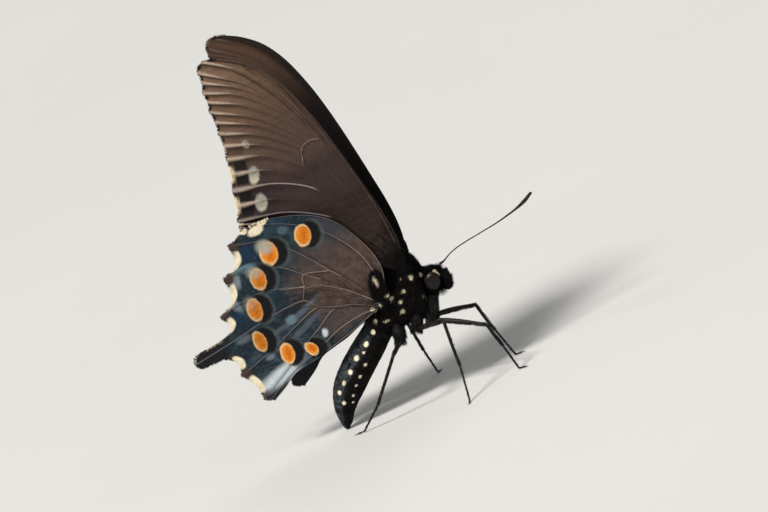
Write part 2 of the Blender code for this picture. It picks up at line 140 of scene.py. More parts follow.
HINDWING_VEINS = (
    ("costa", 0.0, ((0.5, -0.5), (1.9, 2.2), (2.8, 5.2), (2.6, 8.3), (1.3, 12.0), (-0.9, 16.0),
                    (-3.6, 18.4), (-7.2, 20.0), (-11.0, 21.0))),
    ("subcosta", 0.0, ((0.35, -0.55), (1.0, 2.2), (1.3, 5.2), (0.7, 8.6), (-1.2, 12.4),
                       (-4.4, 16.2), (-8.6, 19.0), (-13.6, 21.0))),
    ("radius", 0.30, ((0.2, -0.6), (-1.6, 3.6), (-5.2, 8.4), (-7.6, 11.8), (-10.1, 14.9),
                      (-13.2, 17.6), (-19.1, 19.2))),
    ("media 1", 0.40, ((0.05, -0.65), (-4.6, 5.2), (-9.5, 9.5), (-12.0, 11.8), (-15.2, 13.6),
                       (-18.5, 14.4), (-22.2, 14.1))),
    ("media 2", 0.44, ((-0.1, -0.7), (-5.2, 4.0), (-10.9, 7.6), (-14.2, 8.8), (-17.8, 9.4),
                       (-21.5, 9.1), (-25.5, 7.9))),
    ("tail's upper corner", 1.0, ((-0.18, -0.72), (-4.5, 2.6), (-9.1, 4.9), (-11.2, 6.4),
                                  (-15.6, 7.1), (-21.0, 6.2), (-26.3, 4.0))),
    ("media 3", 0.0, ((-0.25, -0.75), (-3.8, 1.2), (-7.3, 2.2), (-9.9, 3.6), (-11.5, 5.3),
                      (-15.2, 5.2), (-20.5, 4.3), (-25.0, 3.3), (-32.75, 1.9))),
    ("tail's lower corner", 1.0, ((-0.32, -0.78), (-3.85, 1.14), (-7.33, 2.13), (-10.0, 3.45),
                                  (-12.6, 4.2), (-16.5, 3.6), (-21.8, 2.35), (-28.0, 0.95))),
    ("cubitus 1", 0.33, ((-0.38, -0.8), (-3.9, 1.08), (-7.35, 2.07), (-9.9, 3.3), (-15.3, 1.3),
                         (-19.2, -0.45), (-26.5, -3.0))),
    ("cubitus 2", 0.25, ((-0.5, -0.85), (-3.95, 0.96), (-7.4, 1.9), (-11.4, -0.4), (-15.5, -2.6),
                         (-18.7, -4.8), (-24.7, -8.4))),
    ("anal vein", 0.0, ((-0.65, -0.9), (-4.2, -0.9), (-8.6, -1.9), (-13.0, -3.9), (-18.0, -5.6),
                        (-23.8, -8.8))),
    ("rear edge", 0.0, ((-0.8, -0.97), (-2.8, -1.7), (-6.6, -3.1), (-10.4, -4.2), (-12.9, -5.0),
                        (-15.6, -5.5), (-18.1, -6.1), (-20.4, -7.7), (-22.9, -9.1))),
)
HINDWING_FORKS = {
    "media 3": ((2, 0.25), (3, 0.33)),
    "tail's lower corner": ((2, 0.25), (3, 0.33)),
    "cubitus 1": ((2, 0.25), (3, 0.33)),
    "cubitus 2": ((2, 0.25),),
}
HINDWING_MIDDLE = (-8.5, 5.5)  # every scallop dips towards this point
HINDWING_APEX = (-16.3, 20.5)
TAIL_END, TAIL_HALF_WIDTH = (-31.6, 2.0), 1.2
SCALLOP_DEPTHS = {
    "radius": 0.35,
    "media 1": 1.7,
    "media 2": 1.85,
    "tail's upper corner": 1.5,
    "cubitus 1": 1.3,
    "cubitus 2": 0.8,
}

WING_ROWS = 140
CREST_STEPS = (0.0, 0.09, 0.2)  # how far from a vein's crest its flanks are drawn
CREST_SHARES = (1.0, 0.55, 0.0)  # the vein's height at those steps
SPAN_STEPS = 5  # columns between a vein's flank and the fold half way to the next vein
LAST_FOLD_STEP = 0.12
CELL_COLUMNS = 2 * (len(CREST_STEPS) + SPAN_STEPS + 1)  # columns from one vein to the next


def spline(points, where):
    """Runs a Catmull-Rom curve through the points. Gives its places and slopes where asked.

    Places are counted in points, so 2.5 is half way from the third point to the fourth.
    """
    points = np.asarray(points, float)
    ends = np.vstack((2 * points[0] - points[1], points, 2 * points[-1] - points[-2]))
    here = np.clip(np.floor(where).astype(int), 0, len(points) - 2)
    t = (where - here)[..., None]
    before, start, end, after = ends[here], ends[here + 1], ends[here + 2], ends[here + 3]
    first, second, third = (
        0.5 * (end - before),
        before - 2.5 * start + 2 * end - 0.5 * after,
        0.5 * (3 * (start - end) + after - before),
    )
    return start + t * (first + t * (second + t * third)), first + t * (2 * second + 3 * t * third)


def run_length(points):
    """Adds up a line's length from its first point to each of its points."""
    return np.concatenate(([0.0], np.cumsum(np.linalg.norm(np.diff(points, axis=0), axis=1))))


def read_off(where, places, values):
    """Reads each column of values, which are known at places, at the places where."""
    return np.stack([np.interp(where, places, column) for column in values.T], axis=-1)


def resampled(points, count, smooth=True):
    """Spaces count points evenly along a line through the points."""
    fine = np.asarray(points, float)
    if smooth:
        fine = spline(fine, np.linspace(0, len(points) - 1, 16 * len(points)))[0]
    length = run_length(fine)
    return read_off(np.linspace(0, length[-1], count), length, fine)


def eased(value, low, high):
    """Runs from 0 at low to 1 at high along 3t² − 2t³. Low may be above high."""
    t = np.clip((value - low) / (high - low), 0, 1)
    return t * t * (3 - 2 * t)


def between(low, high, share):
    """Works out the colour a share of the way from low to high."""
    return tuple(a + (b - a) * share for a, b in zip(low, high))


def scallop(start, end, depth, middle):
    """Draws a half sine wave from start to end that dips towards the middle by depth."""
    start, end = np.array(start), np.array(end)
    share = np.linspace(0, 1, 25)[:, None]
    across = np.array((end[1] - start[1], start[0] - end[0]))
    across *= np.sign(across @ (np.array(middle) - start)) / np.hypot(*across)
    return start + share * (end - start) + np.sin(math.pi * share) * depth * across


def forewing_margin():
    """Draws the forewing's margin, in one piece from each vein's end to the next."""
    ends = [points[-1] for _, _, points in FOREWING_VEINS]
    tip = spline(FOREWING_TIP, np.linspace(0, len(FOREWING_TIP) - 1, 25))[0]
    waves = [scallop(a, b, FOREWING_SCALLOP, FOREWING_MIDDLE) for a, b in zip(ends[1:-2], ends[2:-1])]
    return [tip, *waves, np.array(ends[-2:])]


def tail_side(start, turn_from, turn_to):
    """Draws one side of the tail from its corner and a quarter of its round end, a circle's arc."""
    corners = np.array([points[-1] for name, _, points in HINDWING_VEINS if name.startswith("tail")])
    away = np.array(TAIL_END) - corners.mean(axis=0)
    turn = math.atan2(away[1], away[0]) + np.linspace(turn_from, turn_to, 9)
    arc = TAIL_END + TAIL_HALF_WIDTH * np.stack((np.cos(turn), np.sin(turn)), axis=-1)
    return np.vstack((start, arc))


def hindwing_margin():
    """Draws the hindwing's margin, in one piece from each vein's end to the next."""
    ends = {name: points[-1] for name, _, points in HINDWING_VEINS}
    names = list(ends)
    edges = []
    for start, end in zip(names, names[1:]):
        edge = np.array((ends[start], ends[end]))
        if end in SCALLOP_DEPTHS and start != "tail's lower corner":
            first = HINDWING_APEX if end == "radius" else ends[start]
            edge = scallop(first, ends[end], SCALLOP_DEPTHS[end], HINDWING_MIDDLE)
        if end == "radius":
            edge = np.vstack((ends[start], edge))
        edges.append(edge)
    tail_top = names.index("tail's upper corner")
    edges[tail_top] = tail_side(ends["tail's upper corner"], -math.pi / 2, 0.0)
    below = tail_side(ends["tail's lower corner"], math.pi / 2, 0.0)
    edges[tail_top + 1] = below[::-1]
    edges[tail_top + 2] = scallop(
        ends["tail's lower corner"], ends["cubitus 1"], SCALLOP_DEPTHS["cubitus 1"], HINDWING_MIDDLE
    )
    return edges


def vein_line(points, forks):
    """Spaces a wing's rows along one vein, evenly between its forks."""
    steps = 16
    fine = spline(points, np.linspace(0, len(points) - 1, steps * (len(points) - 1) + 1))[0]
    length = run_length(fine)
    shares = [0.0] + [share for _, share in forks] + [1.0]
    lengths = [0.0] + [length[steps * number] for number, _ in forks] + [length[-1]]
    return read_off(np.interp(np.linspace(0, 1, WING_ROWS), shares, lengths), length, fine)


class Plan:
    """A wing drawn flat, as a grid whose rows run from the root to the margin.

    Between two neighbouring veins A and B, at the share s of the way out and g of the way across,
    the point is A(s) + g (B(s) − A(s)) + s³ (E(g) − A(1) − g (B(1) − A(1))), where E is the margin
    from the end of A to the end of B. Columns stand close at the veins and at the fold between them.
    """

    def __init__(self, veins, forks, margin):
        out = np.linspace(0, 1, WING_ROWS)
        lines = [vein_line(points, forks.get(name, ())) for name, _, points in veins]
        strips = []
        shares = np.array(CREST_SHARES)
        for number, (a, b, edge) in enumerate(zip(lines, lines[1:], margin)):
            gap = np.linalg.norm(b - a, axis=1)[:, None]
            flank = np.minimum(np.array(CREST_STEPS) / np.maximum(gap, 1e-6), (0.0, 0.08, 0.16))
            step = np.minimum(LAST_FOLD_STEP / np.maximum(gap, 1e-6), 0.06)
            ramp = np.linspace(0, 1, SPAN_STEPS + 2)[None, 1:]
            half = flank[:, -1:] + ramp * (0.5 - step - flank[:, -1:])
            g = np.hstack((flank, half, np.full_like(gap, 0.5), 1 - half[:, ::-1], 1 - flank[:, :0:-1]))
            rim = read_off(g, np.linspace(0, 1, 201), resampled(edge, 201, smooth=False))
            chord = a[-1] + g[..., None] * (b[-1] - a[-1])
            strip = a[:, None] + g[..., None] * (b - a)[:, None] + (out[:, None, None] ** 3) * (rim - chord)
            crest = np.zeros_like(g)
            starts = veins[number][1], veins[number + 1][1]
            shown = [eased(out, start - 0.02, start + 0.01) if start else 1.0 + 0 * out for start in starts]
            crest[:, : len(shares)] = shares * shown[0][:, None]
            crest[:, 1 - len(shares) :] = shares[:0:-1] * shown[1][:, None]
            fold = np.zeros_like(g)
            fold[:, flank.shape[1] + SPAN_STEPS + 1] = 1.0
            strips.append((strip, g, crest, fold, np.full_like(g, number)))
        last, ones = len(lines) - 2, np.ones((WING_ROWS, 1))
        strips.append((lines[-1][:, None], ones, ones, 0 * ones, last * ones))
        parts = (np.concatenate(part, axis=1) for part in zip(*strips))
        self.points, self.across, self.crest, self.fold, cell = parts
        self.reach = np.broadcast_to(out[:, None], self.across.shape)
        self.margin = np.linalg.norm(self.points - self.points[-1], axis=-1)
        self.middle = 2 * np.minimum(self.across, 1 - self.across)
        half = 2 * (self.across % 0.5)
        # behind: a painted shadow band just behind (below) each vein and fold, where the ridge casts it
        self.behind = eased(half, 0.0, 0.1) * (1 - eased(half, 0.16, 0.55))  # just behind a vein or fold
        self.front = (cell == 0) * (1 - self.across)
        self.rear = (cell == last) * self.across


def stand_up(plan, root, sign, swing):
    """Takes points of the flat wing to their place.

    The wing turns by swing about its root, stands up leaning out by WING_OPENING, and bulges out
    by WING_BOW times a half sine wave of its height.
    """
    x = plan[..., 0] * math.cos(swing) + plan[..., 1] * math.sin(swing)
    up = plan[..., 1] * math.cos(swing) - plan[..., 0] * math.sin(swing)
    z = root[2] + up * math.cos(WING_OPENING)
    height = np.clip((z - WING_FOOT) / (WING_TOP - WING_FOOT), 0.0, 1.0)
    out = root[1] + up * math.sin(WING_OPENING) + WING_BOW * np.sin(math.pi * height)
    return np.stack((root[0] + x, sign * out, z), axis=-1)


# ---- meshes -------------------------------------------------------------------------------------


class Shape:
    """A mesh in the making: its points, arrays of faces with equal sides, and values at the points."""

    def __init__(self, points, faces, **values):
        self.points, self.faces, self.values = points, faces, values

    @classmethod
    def joined(cls, shapes):
        """Puts several shapes into one."""
        starts = np.cumsum([0] + [len(shape.points) for shape in shapes])
        faces = [part + start for shape, start in zip(shapes, starts) for part in shape.faces]
        names = shapes[0].values
        values = {name: np.concatenate([shape.values[name] for shape in shapes]) for name in names}
        return cls(np.concatenate([shape.points for shape in shapes]), faces, **values)

    def outwards(self):
        """Turns the faces over if the volume that they close, summed over their fans, is negative."""
        volume = 0.0
        for part in self.faces:
            corners = self.points[part]
            for second in range(1, part.shape[1] - 1):
                turned = np.cross(corners[:, second], corners[:, second + 1])
                volume += np.einsum("ij,ij->", corners[:, 0], turned)
        if volume < 0:
            self.faces = [part[:, ::-1] for part in self.faces]
        return self


def grid_faces(rows, columns, around):
    """Numbers the four-sided faces of a grid of points, joined round its columns if around is true."""
    spans = columns if around else columns - 1
    row, column = np.meshgrid(np.arange(rows - 1), np.arange(spans), indexing="ij")
    here, beside = row * columns + column, row * columns + (column + 1) % columns
    return np.stack((here, beside, beside + columns, here + columns), axis=-1).reshape(-1, 4)


def closed_rings(rings, start, end, **values):
    """Closes a stack of rings with one point at each end. A value at the rings is given for the ends too."""
    rows, sides = rings.shape[:2]
    ring = np.arange(sides)
    beside = (ring + 1) % sides
    first, last = np.full(sides, rows * sides), np.full(sides, rows * sides + 1)
    above = (rows - 1) * sides
    caps = np.concatenate((
        np.stack((first, beside, ring), axis=-1),
        np.stack((last, above + ring, above + beside), axis=-1),
    ))
    points = np.concatenate((rings.reshape(-1, 3), [start, end]))
    spread = {
        name: np.concatenate((value.reshape(rows * sides, -1), [value[0].reshape(sides, -1)[0]],
                              [value[-1].reshape(sides, -1)[0]]))
        for name, value in values.items()
    }
    return Shape(points, [grid_faces(rows, sides, True), caps], **spread).outwards()


def swept(path, radii, sides, across):
    """Carries a circle along a path.

    A ring's point is path + radius (cos a · side + sin a · up), where side is the unit vector along
    tangent × across, and up along side × tangent. Each end closes in a point half a radius further.
    """
    path = np.asarray(path, float)
    radii = np.broadcast_to(radii, len(path))
    tangent = np.gradient(path, axis=0)
    side = unit(np.cross(tangent, across))
    up = unit(np.cross(side, tangent))
    turn = np.arange(sides) * TAU / sides
    ring = np.cos(turn)[None, :, None] * side[:, None] + np.sin(turn)[None, :, None] * up[:, None]
    rings = path[:, None] + radii[:, None, None] * ring
    ends = path[0] - 0.5 * radii[0] * unit(tangent[0]), path[-1] + 0.5 * radii[-1] * unit(tangent[-1])
    return closed_rings(rings, *ends)


def unit(vectors):
    """Scales vectors to length 1."""
    return vectors / np.maximum(np.linalg.norm(vectors, axis=-1, keepdims=True), 1e-12)


def mirrored(points, sign):
    """Takes points given for the left side (+Y) to the side that sign says."""
    return np.asarray(points, float) * (1, sign, 1)


def new_mesh(name, points, faces):
    """Makes a smooth mesh. Gives it with the number of the point at each corner of its faces."""
    mesh = bpy.data.meshes.new(name)
    corners = np.concatenate([part.ravel() for part in faces]).astype(np.int32)
    sizes = np.concatenate([np.full(len(part), part.shape[1]) for part in faces])
    mesh.vertices.add(len(points))
    mesh.vertices.foreach_set("co", points.ravel())
    mesh.loops.add(len(corners))
    mesh.loops.foreach_set("vertex_index", corners)
    mesh.polygons.add(len(sizes))
    mesh.polygons.foreach_set("loop_start", (np.cumsum(sizes) - sizes).astype(np.int32))
    mesh.update(calc_edges=True)
    mesh.polygons.foreach_set("use_smooth", np.ones(len(sizes), bool))
    return mesh, corners


def make_piece(name, shape, finishes, numbers=None, replaced=()):
    """Makes an object of a shape in the butterfly's own frame, and ties it to the CAD's one body."""
    mesh, corners = new_mesh(name, (shape.points + SHIFT) * MM, shape.faces)
    if numbers is not None:
        mesh.polygons.foreach_set("material_index", numbers.astype(np.int32))
    for key, value in shape.values.items():
        value = value.reshape(len(shape.points), -1)
        if value.shape[1] == 2:
            mesh.uv_layers.new(name=key).data.foreach_set("uv", value[corners].ravel())
        else:
            mesh.attributes.new(key, "FLOAT", "POINT").data.foreach_set("value", value.ravel())
    for finish in finishes:
        mesh.materials.append(finish)
    mesh.validate()
    made = bpy.data.objects.new(name, mesh)
    bpy.context.scene.collection.objects.link(made)
    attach(made, "root")
    if replaced:
        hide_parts(*replaced)
    return made


# ---- materials ----------------------------------------------------------------------------------


class Wire:
    """A socket that carries a number or a vector. Sums written with it become Math nodes."""

    def __init__(self, paint, socket):
        self.paint, self.socket = paint, socket

    def sum(self, operation, *others):
        """Adds a Math node that works on this wire and the others."""
        return self.paint.node("ShaderNodeMath", {"operation": operation}, dict(enumerate((self, *others))))

    __add__ = __radd__ = lambda self, other: self.sum("ADD", other)
    __mul__ = __rmul__ = lambda self, other: self.sum("MULTIPLY", other)
    __sub__ = lambda self, other: self.sum("SUBTRACT", other)
    __truediv__ = lambda self, other: self.sum("DIVIDE", other)
    __lt__ = lambda self, other: self.sum("LESS_THAN", other)

    def __rsub__(self, other):
        return self.paint.node("ShaderNodeMath", {"operation": "SUBTRACT"}, {0: other, 1: self})

    def clamped(self):
        """Keeps the number between 0 and 1."""
        return self.sum("MINIMUM", 1.0).sum("MAXIMUM", 0.0)

    def eased(self, low, high):
        """Rises smoothly from 0 at low to 1 at high. It falls instead where low is above high."""
        start, end = sorted((low, high))
        rise = {"From Min": start, "From Max": end, "To Min": float(low > high), "To Max": float(low < high)}
        settings = {"interpolation_type": "SMOOTHSTEP"}
        return self.paint.node("ShaderNodeMapRange", settings, {"Value": self, **rise})


class Paint:
    """A material, with its Principled shader and a way to add nodes."""

    def __init__(self, name, **constants):
        self.material = bpy.data.materials.new(name)
        self.material.use_nodes = True
        self.nodes, self.links = self.material.node_tree.nodes, self.material.node_tree.links
        self.shader = next(node for node in self.nodes if node.type == "BSDF_PRINCIPLED")
        self.colour = None  # what the finish has mixed so far
        self.read = {}  # the mesh's values that it has read
        for socket, value in constants.items():
            self.shader.inputs[socket.replace("_", " ").title().replace("Ior", "IOR")].default_value = value

    def node(self, kind, settings=None, sockets=None, output=0):
        """Adds a node. Its settings are set first, then its sockets are given values or wires."""
        made = self.nodes.new(kind)
        for name, value in (settings or {}).items():
            if name == "stops":
                stops = made.color_ramp.elements
                for number, (place, colour) in enumerate(value):
                    stop = stops[number] if number < 2 else stops.new(place)
                    stop.position, stop.color = place, (*colour, 1.0)
            else:
                setattr(made, name, value)
        for name, value in (sockets or {}).items():
            if isinstance(value, Wire):
                self.links.new(value.socket, made.inputs[name])
            else:
                made.inputs[name].default_value = value
        return Wire(self, made.outputs[output])

    def feed(self, **wires):
        """Joins wires to the Principled shader's sockets."""
        for socket, wire in wires.items():
            self.links.new(wire.socket, self.shader.inputs[socket.replace("_", " ")])

    def value_at(self, name):
        """Reads a value stored at the mesh's points."""
        if name not in self.read:
            self.read[name] = self.node("ShaderNodeAttribute", {"attribute_name": name}, output="Fac")
        return self.read[name]

    def place(self):
        """Gives the place on the object in millimetres."""
        here = self.node("ShaderNodeTexCoord", output="Object")
        return self.node("ShaderNodeVectorMath", {"operation": "SCALE"}, {0: here, "Scale": 1 / MM})

    def mix(self, share, low, high, blend="MIX"):
        """Mixes two colours, each a wire or three numbers."""
        four = lambda colour: colour if isinstance(colour, Wire) else (*colour, 1.0)
        settings = {"data_type": "RGBA", "blend_type": blend}
        return self.node("ShaderNodeMix", settings, {0: share, 6: four(low), 7: four(high)}, 2)

    def noise(self, where, scale, detail=2.0, roughness=0.5):
        """Gives a soft noise around 0.5, with so many lumps in a millimetre."""
        sockets = {"Vector": where, "Scale": scale, "Detail": detail, "Roughness": roughness}
        return self.node("ShaderNodeTexNoise", None, sockets)

    def bump(self, height, distance, strength):
        """Raises the surface by a height between 0 and 1, times a distance in millimetres."""
        sockets = {"Height": height, "Distance": distance * MM, "Strength": strength}
        return self.node("ShaderNodeBump", None, sockets)

    def split(self, vector):
        """Gives a vector's first two numbers, each on a wire of its own."""
        first = self.node("ShaderNodeSeparateXYZ", None, {"Vector": vector})
        return first, Wire(self, first.socket.node.outputs[1])

    def stretched(self, vector, *scale):
        """Scales a place along x and h, so that a pattern read from it is drawn out."""
        return self.node("ShaderNodeMapping", None, {"Vector": vector, "Scale": (*scale, 1.0)})

    def cover(self, share, tone):
        """Lays a tone over the colour so far, as far as the share says."""
        self.colour = self.mix(share, self.colour, tone)

    def speckled(self, share, low, high):
        """Gives the colour so far times a grey that runs from low to high with the share."""
        return self.mix(1.0, self.colour, self.mix(share, (low,) * 3, (high,) * 3), "MULTIPLY")


def drawn_on_wing(paint):
    """Gives the place on the flat wing in millimetres, read from the UV map "plan"."""
    flat = paint.node("ShaderNodeUVMap", {"uv_map": "plan"})
    sizes = {"Scale": (PLAN_WIDTH, PLAN_WIDTH, 1.0), "Location": (-PLAN_CORNER[0], -PLAN_CORNER[1], 0.0)}
    return paint.node("ShaderNodeMapping", None, {"Vector": flat, **sizes})


def oval(paint, plan, centre, radii, turn=0.0, soft=0.12):
    """Gives 1 inside an ellipse on the flat wing and 0 outside, easing over soft times its radii."""
    sizes = {"Location": (*centre, 0.0), "Rotation": (0.0, 0.0, math.radians(turn)), "Scale": (*radii, 1.0)}
    local = paint.node("ShaderNodeMapping", {"vector_type": "TEXTURE"}, {"Vector": plan, **sizes})
    reach = paint.node("ShaderNodeVectorMath", {"operation": "LENGTH"}, {0: local}, "Value")
    return reach.eased(1 + soft, 1 - soft)


def wing_scales(paint, plan):
    """Lays the wing's scales: small cells in rows. Gives each one's own number, and its raised shape."""
    sockets = {"Vector": paint.stretched(plan, 1.0, 0.7), "Scale": SCALES_PER_MM}
    cells = paint.node("ShaderNodeTexVoronoi", None, sockets, "Color")
    own = paint.node("ShaderNodeSeparateColor", None, {"Color": cells})
    return own, 1 - paint.node("ShaderNodeTexVoronoi", None, sockets, "Distance")


def wobbled(paint, plan, amount, scale):
    """Moves the places on the flat wing a little, so that no mark has a ruled edge."""
    drift = paint.node("ShaderNodeTexNoise", None, {"Vector": plan, "Scale": scale, "Detail": 2.0}, "Color")
    around = paint.node("ShaderNodeVectorMath", {"operation": "SUBTRACT"}, {0: drift, 1: (0.5, 0.5, 0.5)})
    moved = paint.node("ShaderNodeVectorMath", {"operation": "SCALE"}, {0: around, "Scale": amount})
    return paint.node("ShaderNodeVectorMath", {"operation": "ADD"}, {0: plan, 1: moved})


SCALES_PER_MM, SCALE_BUMP = 7.0, (0.03, 0.5)
NOTCH_SLOPE, NOTCH_REAR, NOTCH_FRONT = 0.6, (6.4, 6.9), (18.8, 18.2)  # the notches' cream ends at these
BLACK = (0.008, 0.007, 0.007)
FRINGE_CREAM = (0.60, 0.47, 0.29)
# Blue-white of the hindwing's painted highlight and of a small pale spot
BLUE_WHITE = (0.62, 0.70, 0.74)
TEAL_DUST = (0.20, 0.32, 0.37)
FOREWING_BROWNS = (  # from the wing's root to its tip
    (0.12, (0.030, 0.019, 0.016)),
    (0.30, (0.026, 0.016, 0.013)),
    (0.40, (0.046, 0.030, 0.027)),
    (0.46, (0.040, 0.025, 0.024)),
    (0.53, (0.085, 0.053, 0.043)),
    (0.65, (0.100, 0.061, 0.042)),
    (0.75, (0.130, 0.075, 0.048)),
    (0.90, (0.190, 0.114, 0.072)),
)
FOREWING_SPOTS = (  # centre, radii and turn of the pale spots between the veins, and their strength
    ((-15.3, 24.75), (0.95, 1.5), -24, 0.85),
    ((-16.15, 19.75), (1.0, 1.5), -21, 0.9),
    ((-14.25, 30.3), (0.6, 0.8), 0, 0.45),
)
HINDWING_SPOTS = (  # centre, radii and turn of the orange spots, how far white spreads, how bright
    ((-6.9, 16.05), (1.4, 2.0), -19, 0.0, 0.9),
    ((-13.4, 15.3), (1.5, 2.15), -13, 1.0, 1.0),
    ((-16.9, 11.8), (1.35, 2.05), -6, 0.7, 0.6),
    ((-19.7, 7.0), (1.3, 2.15), -7, 0.3, 0.55),
    ((-21.2, 1.45), (1.1, 1.95), 0, 0.0, 0.55),
    ((-17.85, -2.3), (1.18, 1.95), -9, 0.0, 1.0),
    ((-13.8, -3.1), (0.95, 1.4), 24, 0.0, 1.0),
)
HINDWING_CREAM = (  # the cream patches by the front corner
    ((-13.75, 19.9), (1.45, 0.8), 14),
    ((-12.2, 20.85), (1.1, 0.6), 32),
    ((-15.7, 20.8), (0.8, 0.75), 30),
)
# The blue-white patches are a painted highlight of the scales' sheen, and the pale grey-blue ones are partly
# a painted sheen. The teal and dark blue ones are the wing's own colour.
HINDWING_SHEEN_AND_PATCHES = (  # centre, radii, turn, strength and colour of the pale patches
    ((-20.6, -5.55), (4.6, 1.25), 18, 1.0, BLUE_WHITE),
    ((-10.6, -1.4), (0.5, 0.75), -12, 1.0, BLUE_WHITE),
    ((-14.85, 3.0), (0.9, 0.8), 30, 0.7, TEAL_DUST),
    ((-22.3, 8.9), (0.7, 1.3), 20, 0.55, (0.34, 0.40, 0.44)),
    ((-23.6, 2.9), (1.3, 0.8), 0, 0.4, (0.24, 0.27, 0.31)),
    ((-20.7, -1.7), (0.8, 0.5), 10, 0.5, (0.30, 0.36, 0.40)),
    ((-18.3, 14.4), (1.9, 0.6), 0, 0.7, (0.16, 0.30, 0.37)),
    ((-20.3, 12.9), (0.6, 1.3), -10, 0.6, (0.36, 0.42, 0.45)),
    ((-9.6, 18.2), (0.9, 0.7), 0, 0.3, TEAL_DUST),
    ((-17.0, 17.0), (1.7, 1.2), 10, 0.8, (0.007, 0.030, 0.075)),
    ((-23.0, 6.6), (1.1, 1.3), 0, 0.7, (0.008, 0.030, 0.065)),
    ((-16.2, 8.0), (1.5, 0.7), 10, 0.7, (0.010, 0.034, 0.060)),
    ((-10.0, 19.6), (2.0, 0.6), 20, 0.6, (0.022, 0.050, 0.085)),
    ((-12.5, 3.6), (3.8, 0.45), 24, 0.5, (0.15, 0.19, 0.26)),
    ((-13.6, 0.7), (4.2, 0.5), 26, 0.45, (0.14, 0.16, 0.21)),
    ((-18.5, 1.8), (3.4, 0.4), 12, 0.4, (0.16, 0.19, 0.24)),
)
# Black patches: the one at the root is the wing's own black, and the others are painted shade under the
# veins and by the folded rear edge.
HINDWING_BLACK_AND_SHADE = (  # centre, radii, turn and strength of the black patches between them
    ((-12.0, 5.2), (4.2, 0.9), 12, 0.7),
    ((-15.3, 2.9), (3.6, 0.8), 16, 0.5),
    ((-20.4, -7.75), (3.4, 0.45), 27, 0.95),
    ((-21.8, 12.0), (0.9, 1.2), 0, 0.5),
    ((1.3, 1.9), (2.2, 3.6), -5, 1.0),
    ((-11.6, -3.1), (2.4, 0.9), 14, 0.9),
)
BASE_MARKS = (((1.0, 3.75), (0.40, 1.15), -12), ((-1.6, -0.75), (0.4, 0.38), 0))  # cream, at the root


def near_lines(middle, margin, reach):
    """Gives 1 on the veins and 0 off them, with lines that widen towards the margin."""
    wide = margin.eased(reach, 0.5) * 0.17 + 0.05
    return (1 - middle / wide).clamped()


def forewing_outer():
    """Paints the forewing's outer face: brown, paler to the tip, with pale folds and a cream fringe. The
    pale veins and folds are partly a painted highlight of their ridges, with a painted shadow under each
    ridge and painted shade along the front edge.
    """
    looks = bpy.context.scene.swallowtail
    paint = Paint("forewing scales outside", roughness=0.6, specular_ior_level=0.15)
    plan = drawn_on_wing(paint)
    loose = wobbled(paint, plan, 0.5, 0.9)
    own, raised = wing_scales(paint, plan)
    x, h = paint.split(loose)
    rise = h * 0.0205 - x * 0.002
    brown = paint.node("ShaderNodeValToRGB", {"stops": FOREWING_BROWNS}, {"Fac": rise})
    crest, middle, margin = (paint.value_at(name) for name in ("crest", "middle", "margin"))
    outer = margin.eased(9.0, 1.0)
    streak = paint.noise(paint.stretched(plan, 0.3, 1.3), 1.0, 3.0)
    paint.colour = paint.mix(outer * h.eased(27.0, 33.0) * 0.45, brown, (0.205, 0.128, 0.085))
    paint.cover(streak.eased(0.35, 0.75) * 0.35, (0.060, 0.038, 0.030))
    dusk = h.eased(27.0, 22.5) * margin.eased(9.0, 5.0)
    paint.cover(dusk * 0.6, (0.024, 0.017, 0.021))
    # Painted shadow under each vein and fold, stronger towards the margin
    paint.cover(paint.value_at("behind") * (outer * 0.62 + 0.1), (0.018, 0.009, 0.007))
    # Painted shade: the strip along the front edge is darkened where the costa turns away from the light
    paint.cover(paint.value_at("front").eased(0.45, 0.9) * 0.5, (0.016, 0.010, 0.009))
    root = oval(paint, loose, (0.9, 1.8), (1.9, 4.6), -10, 0.5)
    paint.cover(root * 0.85, BLACK)
    for centre, radii, turn, strength in FOREWING_SPOTS:
        mark = oval(paint, loose, centre, radii, turn, 0.25) * strength
        upper = oval(paint, loose, (centre[0] + 0.3, centre[1] + 0.8), (radii[0], 0.7), turn, 0.5)
        paint.cover(mark, paint.mix(upper * 0.7, (0.60, 0.57, 0.45), (0.20, 0.22, 0.21)))
    low = h.eased(31.0, 27.0) * margin.eased(0.6, 0.9) * margin.eased(3.1, 2.5)
    paint.cover(low * middle.eased(0.15, 0.35) * 0.92, (0.006, 0.005, 0.005))
    # Pale veins and folds: partly their own paler scales, partly a painted highlight where the ridges catch
    # the light. The painted highlight is taken off along the front edge.
    pale = paint.mix(margin.eased(7.0, 1.5), (0.15, 0.105, 0.085), (0.60, 0.47, 0.37))
    lines = near_lines(middle, margin, 8.0) * (outer * 0.55 + 0.35)
    lines = lines * (1 - paint.value_at("front").eased(0.7, 0.95) * 0.9)
    folds = near_lines(1 - middle, margin, 6.0) * margin.eased(7.5, 4.0) * 0.95
    vary = streak.eased(0.25, 0.6) * 0.35 + 0.65
    paint.cover((lines + folds).clamped() * vary, pale)
    # Pale crests of the low veins, partly a painted highlight
    low_veins = crest.eased(0.15, 0.8) * (h + x * 0.55).eased(17.2, 16.0) * x.eased(-6.3, -7.2)
    paint.cover(low_veins * 0.75, (0.40, 0.33, 0.33))
    cream = margin.eased(0.65, 0.35) * middle.eased(0.35, 0.7) * h.eased(29.0, 26.0)
    paint.cover(cream, FRINGE_CREAM)
    tint = paint.mix(1.0, paint.speckled(own, 0.85, 1.14), tuple(looks.forewing_tint), "MULTIPLY")
    paint.feed(Base_Color=tint, Normal=paint.bump(raised, *SCALE_BUMP))
    return paint.material


